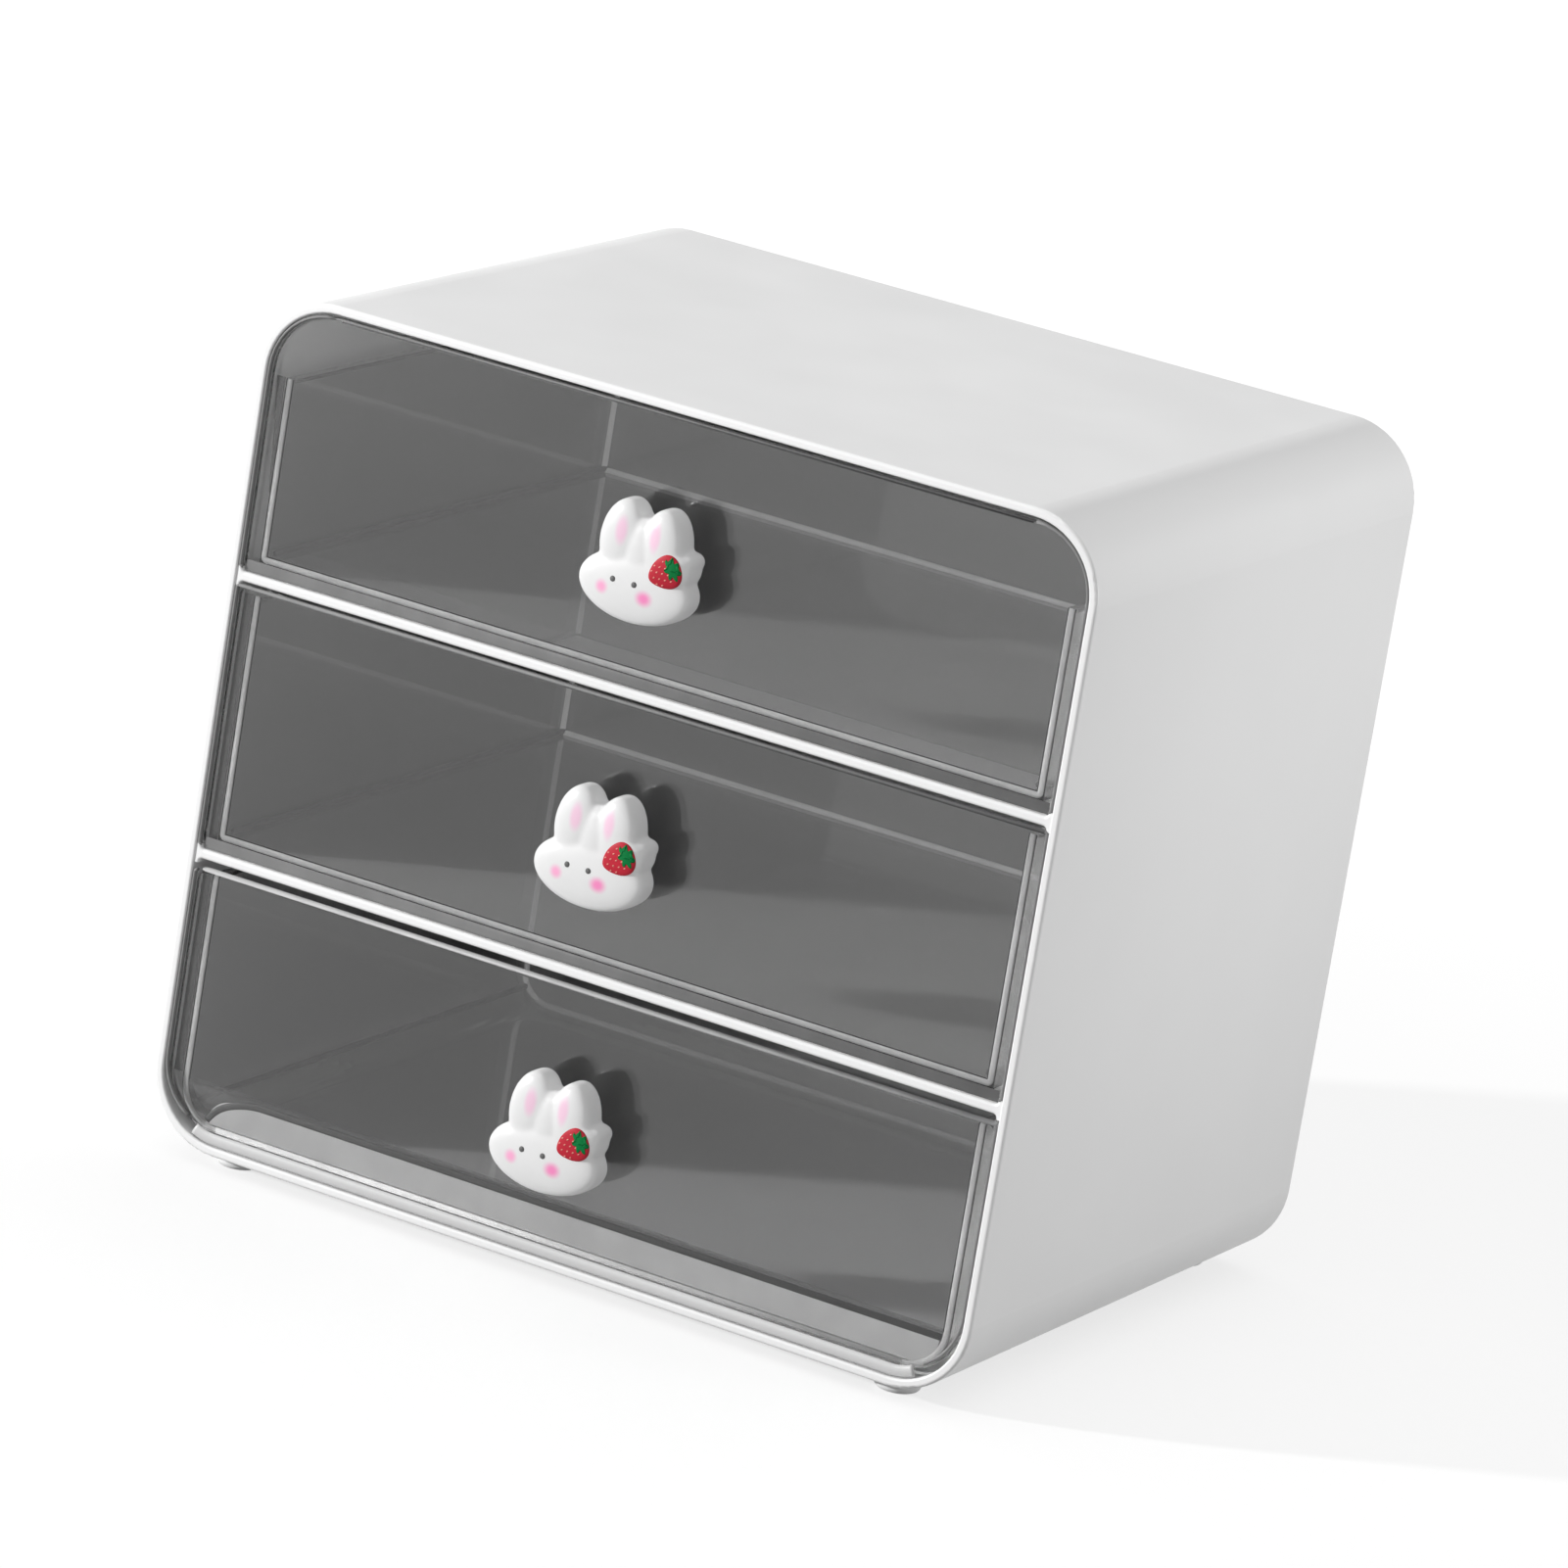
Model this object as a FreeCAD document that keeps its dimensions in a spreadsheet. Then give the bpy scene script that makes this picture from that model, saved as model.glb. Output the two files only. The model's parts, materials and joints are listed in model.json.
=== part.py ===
"""Desktop cosmetics organizer: a rounded white case with three clear drawers.

Frame: +Z up, -Y is the front, +X to the right seen from the front.  The origin
is under the middle of the whole object, on the surface that it stands on.
All sizes are millimetres.
"""
import FreeCAD, Part
import Sketcher
import math
import os

from FreeCAD import Placement, Rotation, Vector

SIZES = [
    # alias, value, meaning
    ("case_width", 240.0, "outside width of the case"),
    ("case_depth", 177.0, "outside depth of the case"),
    ("case_corner", 20.6, "outside radius of the four long corners"),
    ("case_wall", 2.4, "wall of the case"),
    ("rim_round", 0.9, "rounding of the rim's outer edge"),
    ("rim_inner_round", 0.6, "rounding of the rim's inner edge"),
    ("back_fit", 0.1, "clearance round the back panel"),
    ("opening_bottom", 73.1, "clear height of the bottom compartment"),
    ("opening_middle", 70.9, "clear height of the middle compartment"),
    ("opening_top", 71.0, "clear height of the top compartment"),
    ("shelf_thick", 2.6, "thickness of a shelf"),
    ("shelf_flare", 1.2, "cleat at each end of a shelf"),
    ("shelf_flare_round", 1.1, "radius between cleat and shelf"),
    ("shelf_recess", 0.6, "shelf edge behind the front rim"),
    ("shelf_round", 0.8, "rounding of the shelf's front edge"),
    ("panel_recess", 1.8, "front panel behind the front rim"),
    ("panel_thick", 2.5, "thickness of a front panel"),
    ("panel_gap_side", 0.8, "gap beside a front panel"),
    ("panel_gap_below", 0.8, "gap under a front panel"),
    ("panel_gap_above", 1.4, "gap over a front panel"),
    ("panel_gap_lowest", 3.4, "gap over the bottom drawer's panel"),
    ("panel_lift", 0.8, "bottom panel's edge above its tray's underside"),
    ("panel_corner", 2.6, "radius of a front panel's plain corners"),
    ("panel_polish", 0.35, "rounding of a front panel's face edge"),
    ("tray_gap_side", 4.4, "gap beside a tray"),
    ("tray_gap_back", 1.0, "gap behind a tray"),
    ("tray_wall", 2.2, "wall of a tray"),
    ("tray_corner", 2.0, "radius of a tray's back corners"),
    ("tray_gap_top", 20.1, "top tray's rim under the case top"),
    ("tray_gap_middle", 3.4, "middle tray's rim under its shelf"),
    ("tray_gap_bottom", 3.6, "bottom tray's rim under its shelf"),
    ("tray_bowl", 12.0, "outside radius of the bottom tray's lower edges"),
    ("tray_lip", 11.4, "height of the bottom tray's front lip"),
    ("runner_height", 2.6, "height of the ribs that a tray slides on"),
    ("runner_width", 3.0, "width of a rib"),
    ("runner_inset", 28.0, "rib in from the tray's side"),
    ("runner_back", 12.0, "rib's ends in from the tray's ends"),
    ("foot_radius", 6.0, "radius of a foot"),
    ("foot_height", 3.5, "height of a foot"),
    ("foot_round", 1.4, "rounding of a foot's lower edge"),
    ("foot_side", 22.5, "foot's centre in from the case side"),
    ("foot_end", 11.0, "foot's centre in from the front and the back"),
    ("knob_proud", 12.4, "knob's face in front of the case rim"),
    ("knob_thick", 11.0, "thickness of the knob's head"),
    ("knob_drop", 1.2, "knob's centre under the compartment's centre"),
    ("head_width", 31.8, "width of the head"),
    ("head_height", 18.0, "height of the head"),
    ("head_turn", 8.6, "corner radius of the head's outline"),
    ("head_round", 4.4, "rounding of the head's edge"),
    ("head_thin", 0.0, "head's face behind the knob's face"),
    ("head_drop", 6.2, "head's centre under the knob's centre"),
    ("ear_width", 11.4, "width of an ear"),
    ("ear_height", 18.4, "length of an ear"),
    ("ear_turn", 5.5, "corner radius of an ear's outline"),
    ("ear_round", 3.3, "rounding of an ear's edge"),
    ("ear_thin", 1.1, "ear's face behind the knob's face"),
    ("ear_side", 5.9, "ear's centre out from the middle"),
    ("ear_rise", 6.0, "ear's centre over the knob's centre"),
    ("bow_width", 12.4, "width of the bow's middle"),
    ("bow_height", 10.4, "height of the bow's middle"),
    ("bow_turn", 4.8, "corner radius of the bow's middle"),
    ("bow_round", 2.4, "rounding of the bow's edge"),
    ("bow_thin", 1.3, "bow's face behind the knob's face"),
    ("bow_side", 10.2, "bow's centre out from the middle"),
    ("bow_rise", 1.2, "bow's centre over the knob's centre"),
    ("loop_width", 5.8, "width of the bow's loop"),
    ("loop_height", 5.0, "height of the bow's loop"),
    ("loop_turn", 2.3, "corner radius of the loop's outline"),
    ("loop_round", 1.2, "rounding of the loop's edge"),
    ("loop_thin", 2.8, "loop's face behind the knob's face"),
    ("loop_side", 13.4, "loop's centre out from the middle"),
    ("loop_rise", 3.0, "loop's centre over the knob's centre"),
    ("berry_side", 9.6, "berry's centre out from the middle"),
    ("berry_rise", 0.9, "berry's centre over the knob's centre"),
    ("berry_radius", 4.7, "radius of the berry"),
    ("berry_round", 0.9, "rounding of the berry's edge"),
    ("berry_fit", 0.2, "clearance round the berry"),
    ("screw_drop", 3.0, "screw's axis under the knob's centre"),
    ("screw_radius", 2.0, "radius of the screw's shank"),
    ("screw_bite", 7.0, "length of the screw inside the knob"),
    ("screw_head_radius", 3.8, "radius of the screw's head"),
    ("screw_head_height", 2.2, "height of the screw's head"),
    ("screw_head_round", 0.9, "rounding of the screw's head"),
    ("slot_length", 4.4, "length of an arm of the cross recess"),
    ("slot_width", 0.9, "width of an arm of the cross recess"),
    ("slot_deep", 1.2, "depth of the cross recess"),
    ("bore_fit", 0.15, "clearance round the screw's shank"),
    ("washer_radius", 5.0, "radius of the washer"),
    ("washer_thick", 0.8, "thickness of the washer"),
    ("spacer_radius", 4.6, "radius of the spacer behind the knob"),
]

DERIVED = [
    ("case_height", "2*Sizes.case_wall + 2*Sizes.shelf_thick + Sizes.opening_bottom"
                    " + Sizes.opening_middle + Sizes.opening_top"),
    ("inner_width", "Sizes.case_width - 2*Sizes.case_wall"),
    ("inner_corner", "Sizes.case_corner - Sizes.case_wall"),
    ("front_y", "(Sizes.knob_proud - Sizes.case_depth)/2"),
    ("back_inner", "Sizes.case_depth - Sizes.case_wall"),
    ("floor_bottom", "Sizes.foot_height + Sizes.case_wall"),
    ("ceiling_bottom", "floor_bottom + Sizes.opening_bottom"),
    ("floor_middle", "ceiling_bottom + Sizes.shelf_thick"),
    ("ceiling_middle", "floor_middle + Sizes.opening_middle"),
    ("floor_top", "ceiling_middle + Sizes.shelf_thick"),
    ("panel_back", "Sizes.panel_recess + Sizes.panel_thick"),
    ("panel_width", "inner_width - 2*Sizes.panel_gap_side"),
    ("tray_width", "inner_width - 2*Sizes.tray_gap_side"),
    ("tray_length", "back_inner - Sizes.tray_gap_back - panel_back"),
    ("tray_top_height", "Sizes.opening_top - Sizes.runner_height - Sizes.tray_gap_top"),
    ("tray_middle_height", "Sizes.opening_middle - Sizes.runner_height - Sizes.tray_gap_middle"),
    ("tray_bottom_height", "Sizes.opening_bottom - Sizes.runner_height - Sizes.tray_gap_bottom"),
    ("panel_bottom_base", "Sizes.runner_height + Sizes.panel_lift"),
    ("panel_top_height", "Sizes.opening_top - Sizes.panel_gap_below - Sizes.panel_gap_above"),
    ("panel_middle_height", "Sizes.opening_middle - Sizes.panel_gap_below - Sizes.panel_gap_above"),
    ("panel_bottom_height", "Sizes.opening_bottom - panel_bottom_base - Sizes.panel_gap_lowest"),
    ("panel_top_corner", "inner_corner - Sizes.panel_gap_side"),
    ("panel_low_corner", "inner_corner - panel_bottom_base"),
    ("bowl_inner", "Sizes.tray_bowl - Sizes.tray_wall"),
    ("knob_back", "Sizes.knob_thick - Sizes.knob_proud"),
    ("bore_radius", "Sizes.screw_radius + Sizes.bore_fit"),
]

LAYERS = ("top", "middle", "bottom")
OVERCUT = 1.0
QUARTER = math.pi / 2

doc = FreeCAD.newDocument("organizer")


def make_sheet(name, rows, lead):
    """Put one alias per row into a new sheet: `rows` of (alias, content, note)."""
    sheet = doc.addObject("Spreadsheet::Sheet", name)
    for number, row in enumerate(rows, start=1):
        sheet.set("A%d" % number, row[0])
        sheet.set("B%d" % number, lead + str(row[1]))
        sheet.setAlias("B%d" % number, row[0])
        if len(row) > 2:
            sheet.set("C%d" % number, row[2])
    doc.recompute()
    return sheet


make_sheet("Sizes", SIZES, "")
make_sheet("Derived", DERIVED, "=")


def bind(thing, **expressions):
    """Bind properties to the sheets; a double underscore in a name is a dot."""
    for key, expression in expressions.items():
        thing.setExpression(key.replace("__", "."), expression)


def locate(thing, x="0", y="0", z="0"):
    """Bind the place of an object."""
    bind(thing, Placement__Base__x=x, Placement__Base__y=y, Placement__Base__z=z)


def new_body(name):
    """Add an empty body whose label is its node's name."""
    body = doc.addObject("PartDesign::Body", name)
    body.Label = name
    return body


def new_sketch(body, name, role, offset="0"):
    """Attach a sketch to one of the body's origin planes, lifted by `offset`."""
    sketch = body.newObject("Sketcher::SketchObject", body.Name + "_" + name)
    plane = [item for item in body.Origin.OriginFeatures if item.Role == role][0]
    sketch.AttachmentSupport = [(plane, "")]
    sketch.MapMode = "FlatFace"
    bind(sketch, AttachmentOffset__Base__z=offset)
    return sketch


def constrain(sketch, expression, *terms):
    """Add a dimension and bind it."""
    index = sketch.addConstraint(Sketcher.Constraint(*terms))
    sketch.setExpression("Constraints[%d]" % index, expression)


def draw_rectangle(sketch, width, low, height, guess):
    """Draw a rectangle centred across the sketch; `guess` is (width, low, height)."""
    half, base, rise = guess[0] / 2, guess[1], guess[2]
    first = sketch.GeometryCount
    corners = [Vector(-half, base, 0), Vector(half, base, 0),
               Vector(half, base + rise, 0), Vector(-half, base + rise, 0)]
    for index in range(4):
        sketch.addGeometry(Part.LineSegment(corners[index], corners[(index + 1) % 4]), False)
    for index in range(4):
        sketch.addConstraint(Sketcher.Constraint("Coincident", first + index, 2,
                                                 first + (index + 1) % 4, 1))
    for index, kind in enumerate(("Vertical", "Horizontal", "Vertical"), start=1):
        sketch.addConstraint(Sketcher.Constraint(kind, first + index))
    sketch.addConstraint(Sketcher.Constraint("Symmetric", first, 1, first, 2, -2))
    constrain(sketch, width, "DistanceX", first, 1, first, 2, guess[0])
    constrain(sketch, height, "DistanceY", first + 1, 1, first + 1, 2, guess[2])
    if low == "0":
        sketch.addConstraint(Sketcher.Constraint("PointOnObject", first, 1, -1))
    else:
        constrain(sketch, low, "DistanceY", -1, 1, first, 1, guess[1])


def draw_circle(sketch, radius, guess):
    """Draw a circle round the sketch's origin."""
    index = sketch.addGeometry(Part.Circle(Vector(0, 0, 0), Vector(0, 0, 1), guess), False)
    sketch.addConstraint(Sketcher.Constraint("Coincident", index, 3, -1, 1))
    constrain(sketch, radius, "Radius", index, guess)


def draw_rounded(sketch, width, low, height, radius, guess):
    """Draw a rounded rectangle centred across; `guess` is (width, low, height, radius)."""
    half, base, top, turn = guess[0] / 2, guess[1], guess[1] + guess[2], guess[3]
    start = sketch.GeometryCount
    ends = [(Vector(turn - half, base, 0), Vector(half - turn, base, 0)),
            (Vector(half, base + turn, 0), Vector(half, top - turn, 0)),
            (Vector(half - turn, top, 0), Vector(turn - half, top, 0)),
            (Vector(-half, top - turn, 0), Vector(-half, base + turn, 0))]
    centres = [Vector(half - turn, base + turn, 0), Vector(half - turn, top - turn, 0),
               Vector(turn - half, top - turn, 0), Vector(turn - half, base + turn, 0)]
    for first, last in ends:
        sketch.addGeometry(Part.LineSegment(first, last), False)
    for index, centre in enumerate(centres):
        circle = Part.Circle(centre, Vector(0, 0, 1), turn)
        sketch.addGeometry(Part.ArcOfCircle(circle, (index - 1) * QUARTER, index * QUARTER), False)
    for index in range(4):
        line, arc, following = start + index, start + 4 + index, start + (index + 1) % 4
        sketch.addConstraint(Sketcher.Constraint("Tangent", line, 2, arc, 1))
        sketch.addConstraint(Sketcher.Constraint("Tangent", arc, 2, following, 1))
    for index, kind in enumerate(("Vertical", "Horizontal", "Vertical"), start=1):
        sketch.addConstraint(Sketcher.Constraint(kind, start + index))
        sketch.addConstraint(Sketcher.Constraint("Equal", start + 4, start + 4 + index))
    sketch.addConstraint(Sketcher.Constraint("Symmetric", start, 1, start, 2, -2))
    constrain(sketch, radius, "Radius", start + 4, turn)
    constrain(sketch, width, "DistanceX", start + 3, 1, start + 1, 1, guess[0])
    constrain(sketch, height, "DistanceY", start, 1, start + 2, 2, guess[2])
    if low == "0":
        sketch.addConstraint(Sketcher.Constraint("PointOnObject", start, 1, -1))
    else:
        constrain(sketch, low, "DistanceY", -1, 1, start, 1, base)


def feature(body, kind, name, sketch, length, reverse=False):
    """Add a pad or a pocket of the given length."""
    item = body.newObject("PartDesign::" + kind, body.Name + "_" + name)
    item.Profile = sketch
    item.Reversed = reverse
    bind(item, Length=length)
    sketch.Visibility = False
    doc.recompute()
    return item


def round_edges(body, name, radius, test):
    """Round the edges of the body's tip that pass `test`, given an edge's box."""
    base = body.Tip
    names = ["Edge%d" % number for number, edge in enumerate(base.Shape.Edges, start=1)
             if test(edge.BoundBox)]
    item = body.newObject("PartDesign::Fillet", body.Name + "_" + name)
    item.Base = (base, names)
    bind(item, Radius=radius)
    doc.recompute()
    return item


def value(alias):
    """Read a size from whichever sheet holds it."""
    sheet = doc.Derived if alias in [row[0] for row in DERIVED] else doc.Sizes
    return float(sheet.get(alias))


def near(first, second):
    """Tell whether two lengths are the same to a hundredth."""
    return abs(first - second) < 0.01


def along_y(box):
    """Tell whether an edge's box runs along Y only."""
    return near(box.XLength, 0) and near(box.ZLength, 0) and box.YLength > 1


def in_plane_y(box, place):
    """Tell whether an edge lies in the plane at `place` along Y."""
    return near(box.YMin, place) and near(box.YMax, place)


def case_sleeve():
    """Build the wrap-round wall of the case, open at both ends."""
    width, height, depth = value("case_width"), value("case_height"), value("case_depth")
    wall = value("case_wall")
    body = new_body("case_sleeve")
    outline = new_sketch(body, "outline", "XZ_Plane")
    draw_rounded(outline, "Sizes.case_width", "0", "Derived.case_height", "Sizes.case_corner",
                 (width, 0, height, value("case_corner")))
    draw_rounded(outline, "Derived.inner_width", "Sizes.case_wall",
                 "Derived.case_height - 2*Sizes.case_wall", "Derived.inner_corner",
                 (width - 2 * wall, wall, height - 2 * wall, value("inner_corner")))
    feature(body, "Pad", "wall", outline, "Sizes.case_depth", True)
    inner = width / 2 - wall

    def outside(box):
        return (box.XMin < -inner - 0.5 or box.XMax > inner + 0.5
                or box.ZMin < wall - 0.5 or box.ZMax > height - wall + 0.5)

    def at_rim(box):
        return in_plane_y(box, 0) or in_plane_y(box, depth)

    round_edges(body, "rim", "Sizes.rim_round", lambda box: at_rim(box) and outside(box))
    round_edges(body, "rim_inside", "Sizes.rim_inner_round",
                lambda box: at_rim(box) and box.XMin > -inner - 0.05 and box.XMax < inner + 0.05
                and box.ZMin > wall - 0.05 and box.ZMax < height - wall + 0.05)
    locate(body, y="Derived.front_y", z="Sizes.foot_height")
    return body


def back_panel():
    """Build the plate that closes the back of the sleeve."""
    body = new_body("back_panel")
    outline = new_sketch(body, "outline", "XZ_Plane", "-Derived.back_inner")
    wide = "Derived.inner_width - 2*Sizes.back_fit"
    tall = "Derived.case_height - 2*Sizes.case_wall - 2*Sizes.back_fit"
    low = "Sizes.case_wall + Sizes.back_fit"
    rim = value("case_wall") + value("back_fit")
    draw_rounded(outline, wide, low, tall, "Derived.inner_corner - Sizes.back_fit",
                 (value("case_width") - 2 * rim, rim, value("case_height") - 2 * rim,
                  value("case_corner") - rim))
    feature(body, "Pad", "plate", outline, "Sizes.case_wall - Sizes.rim_inner_round", True)
    locate(body, y="Derived.front_y", z="Sizes.foot_height")
    return body


def shelf(name, base):
    """Build a shelf with a cleat at each end; `base` is its underside's height."""
    wide, thick, flare = value("inner_width"), value("shelf_thick"), value("shelf_flare")
    body = new_body(name)
    length = "Derived.back_inner - Sizes.shelf_recess"
    plate = new_sketch(body, "plate", "XZ_Plane", "-Sizes.shelf_recess")
    draw_rectangle(plate, "Derived.inner_width", "Sizes.shelf_flare", "Sizes.shelf_thick",
                   (wide, flare, thick))
    feature(body, "Pad", "board", plate, length, True)
    for side, sign in (("left", "-"), ("right", "")):
        cleat = new_sketch(body, "cleat_" + side, "XZ_Plane", "-Sizes.shelf_recess")
        draw_rectangle(cleat, "Sizes.shelf_flare", "0", "Sizes.shelf_thick + 2*Sizes.shelf_flare",
                       (flare, 0, thick + 2 * flare))
        bind(cleat, AttachmentOffset__Base__x=sign + "(Derived.inner_width - Sizes.shelf_flare)/2")
        feature(body, "Pad", "end_" + side, cleat, length, True)
    edge = wide / 2 - flare
    round_edges(body, "coves", "Sizes.shelf_flare_round",
                lambda box: along_y(box) and near(abs(box.XMin), edge)
                and (near(box.ZMin, flare) or near(box.ZMin, flare + thick)))
    front = value("shelf_recess")
    round_edges(body, "nose", "Sizes.shelf_round",
                lambda box: in_plane_y(box, front) and box.XLength > wide / 2)
    locate(body, y="Derived.front_y", z=base + " - Sizes.shelf_flare")
    return body


def add_runners(body):
    """Add the two ribs under a tray."""
    for side, sign in (("left", "-"), ("right", "")):
        rib = new_sketch(body, "rib_" + side, "XY_Plane")
        width, length = value("runner_width"), value("tray_length")
        low = value("runner_back")
        draw_rectangle(rib, "Sizes.runner_width", "Sizes.runner_back",
                       "Derived.tray_length - 2*Sizes.runner_back", (width, low, length - 2 * low))
        bind(rib, AttachmentOffset__Base__x=sign + "(Derived.tray_width/2 - Sizes.runner_inset)")
        feature(body, "Pad", "runner_" + side, rib, "Sizes.runner_height", True)


def tray(layer):
    """Build a drawer's tray; the bottom one has rounded lower edges and a lip."""
    wide, length, wall = value("tray_width"), value("tray_length"), value("tray_wall")
    tall = value("tray_%s_height" % layer)
    height = "Derived.tray_%s_height" % layer
    bowl = layer == "bottom"
    body = new_body("tray_" + layer)
    outline = new_sketch(body, "outline", "XY_Plane")
    draw_rectangle(outline, "Derived.tray_width", "0", "Derived.tray_length", (wide, 0, length))
    feature(body, "Pad", "block", outline, height)
    if bowl:
        round_edges(body, "bowl", "Sizes.tray_bowl", lambda box: near(box.ZMax, 0))
    else:
        round_edges(body, "corners", "Sizes.tray_corner",
                    lambda box: box.ZLength > tall / 2 and near(box.YMin, length))
    if bowl:
        base = body.Tip
        number = [near(face.CenterOfMass.z, tall) for face in base.Shape.Faces].index(True) + 1
        shell = body.newObject("PartDesign::Thickness", "tray_bottom_inside")
        shell.Base = (base, ["Face%d" % number])
        shell.Reversed = True
        bind(shell, Value="Sizes.tray_wall")
        doc.recompute()
        gate = new_sketch(body, "gate", "XY_Plane", height)
        draw_rectangle(gate, "Derived.tray_width - 2*Sizes.tray_wall", "0", "Sizes.tray_wall",
                       (wide - 2 * wall, 0, wall))
        feature(body, "Pocket", "front_cut", gate, height + " - Sizes.tray_lip")
    else:
        hollow = new_sketch(body, "hollow", "XY_Plane", height)
        draw_rectangle(hollow, "Derived.tray_width - 2*Sizes.tray_wall", "0",
                       "Derived.tray_length - Sizes.tray_wall", (wide - 2 * wall, 0, length - wall))
        feature(body, "Pocket", "inside", hollow, height + " - Sizes.tray_wall")
    add_runners(body)
    locate(body, y="Derived.front_y + Derived.panel_back",
           z="Derived.floor_%s + Sizes.runner_height" % layer)
    return body


def front_panel(layer):
    """Build a drawer's front, rounded where it follows the case's corners."""
    body = new_body("front_" + layer)
    low = "Derived.panel_bottom_base" if layer == "bottom" else "Sizes.panel_gap_below"
    base = value("panel_bottom_base") if layer == "bottom" else value("panel_gap_below")
    tall = value("panel_%s_height" % layer)
    outline = new_sketch(body, "outline", "XZ_Plane", "-Sizes.panel_recess")
    draw_rectangle(outline, "Derived.panel_width", low, "Derived.panel_%s_height" % layer,
                   (value("panel_width"), base, tall))
    feature(body, "Pad", "plate", outline, "Sizes.panel_thick", True)
    high = "Derived.panel_top_corner" if layer == "top" else "Sizes.panel_corner"
    deep = "Derived.panel_low_corner" if layer == "bottom" else "Sizes.panel_corner"
    round_edges(body, "upper_corners", high, lambda box: along_y(box) and box.ZMin > base + 1)
    round_edges(body, "lower_corners", deep, lambda box: along_y(box) and near(box.ZMin, base))
    hole = new_sketch(body, "hole", "XZ_Plane", "-Sizes.panel_recess")
    draw_circle(hole, "Derived.bore_radius", value("bore_radius"))
    bind(hole, AttachmentOffset__Base__y=screw_height(layer))
    feature(body, "Pocket", "bore", hole, "Sizes.panel_thick")
    front = value("panel_recess")
    round_edges(body, "polish", "Sizes.panel_polish",
                lambda box: in_plane_y(box, front)
                and (box.XLength > 20 or box.ZLength > 10
                     or max(abs(box.XMin), abs(box.XMax)) > value("panel_width") / 2 - 2))
    locate(body, y="Derived.front_y", z="Derived.floor_" + layer)
    return body


def knob_height(layer):
    """Give the knob centre's height over its compartment's floor."""
    return "(Sizes.opening_%s/2 - Sizes.knob_drop)" % layer


def screw_height(layer):
    """Give the screw axis's height over its compartment's floor."""
    return "(%s - Sizes.screw_drop)" % knob_height(layer)


def pillow(name, piece, x, z, face):
    """Build a rounded slab of the named piece's sizes, its face `face` behind the knob's."""
    wide, tall, turn = (value("%s_%s" % (piece, size)) for size in ("width", "height", "turn"))
    body = new_body(name)
    outline = new_sketch(body, "outline", "XZ_Plane")
    draw_rounded(outline, "Sizes.%s_width" % piece, "0", "Sizes.%s_height" % piece,
                 "Sizes.%s_turn" % piece, (wide, 0, tall, turn))
    feature(body, "Pad", "slab", outline, "Sizes.knob_thick - 2*" + face, True)
    round_edges(body, "edge", "Sizes.%s_round" % piece, lambda box: near(box.YLength, 0))
    locate(body, x=x, y="Derived.front_y - Sizes.knob_proud + " + face,
           z="%s - Sizes.%s_height/2" % (z, piece))
    return body


def knob(layer):
    """Build an animal-head knob: head, two ears and a bow, with a bore for the screw."""
    middle = "Derived.floor_%s + %s" % (layer, knob_height(layer))
    name = "knob_" + layer
    parts = [pillow(name + "_head", "head", "0", middle + " - Sizes.head_drop", "Sizes.head_thin")]
    for side, sign in (("left", "-"), ("right", "")):
        parts.append(pillow(name + "_ear_" + side, "ear", sign + "Sizes.ear_side",
                            middle + " + Sizes.ear_rise", "Sizes.ear_thin"))
    for piece in ("bow", "loop"):
        parts.append(pillow(name + "_" + piece, piece, "Sizes.%s_side" % piece,
                            middle + " + Sizes.%s_rise" % piece, "Sizes.%s_thin" % piece))
    joined = doc.addObject("Part::MultiFuse", name + "_joined")
    joined.Shapes = parts
    seat = cylinder(name + "_seat", "Sizes.berry_radius + Sizes.berry_fit",
                    "Sizes.knob_thick", "Sizes.berry_side",
                    "Derived.front_y - Sizes.knob_proud + Sizes.bow_thin",
                    middle + " + Sizes.berry_rise")
    bore = cylinder(name + "_bore", "Derived.bore_radius", "Sizes.screw_bite + %g" % (2 * OVERCUT),
                    "0", "Derived.front_y + Derived.knob_back + %g" % OVERCUT,
                    "Derived.floor_%s + %s" % (layer, screw_height(layer)))
    return subtract(name, joined, [seat, bore])


def cylinder(name, radius, length, x, y, z):
    """Add a cylinder that starts at the given place and runs to the front."""
    item = doc.addObject("Part::Cylinder", name)
    item.Placement = Placement(Vector(0, 0, 0), Rotation(Vector(1, 0, 0), 90))
    bind(item, Radius=radius, Height=length)
    locate(item, x, y, z)
    return item


def subtract(name, base, tools):
    """Cut the tools from the base and label the result."""
    joined = tools[0]
    if len(tools) > 1:
        joined = doc.addObject("Part::MultiFuse", name + "_tools")
        joined.Shapes = tools
    cut = doc.addObject("Part::Cut", name)
    cut.Base = base
    cut.Tool = joined
    cut.Label = name
    doc.recompute()
    return cut


def berry(layer):
    """Build the small domed fruit that sits on the bow."""
    body = new_body("berry_" + layer)
    outline = new_sketch(body, "outline", "XZ_Plane")
    draw_circle(outline, "Sizes.berry_radius", value("berry_radius"))
    feature(body, "Pad", "disc", outline, "Sizes.bow_thin", True)
    round_edges(body, "dome", "Sizes.berry_round", lambda box: in_plane_y(box, 0))
    middle = "Derived.floor_%s + %s" % (layer, knob_height(layer))
    locate(body, "Sizes.berry_side", "Derived.front_y - Sizes.knob_proud",
           middle + " + Sizes.berry_rise")
    return body


def ring(name, layer, radius, thick, y):
    """Build a flat ring round the screw; `y` is its front face behind the rim."""
    body = new_body(name)
    outline = new_sketch(body, "outline", "XZ_Plane")
    draw_circle(outline, radius, 5.0)
    draw_circle(outline, "Derived.bore_radius", value("bore_radius"))
    feature(body, "Pad", "disc", outline, thick, True)
    locate(body, "0", "Derived.front_y + " + y,
           "Derived.floor_%s + %s" % (layer, screw_height(layer)))
    return body


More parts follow.
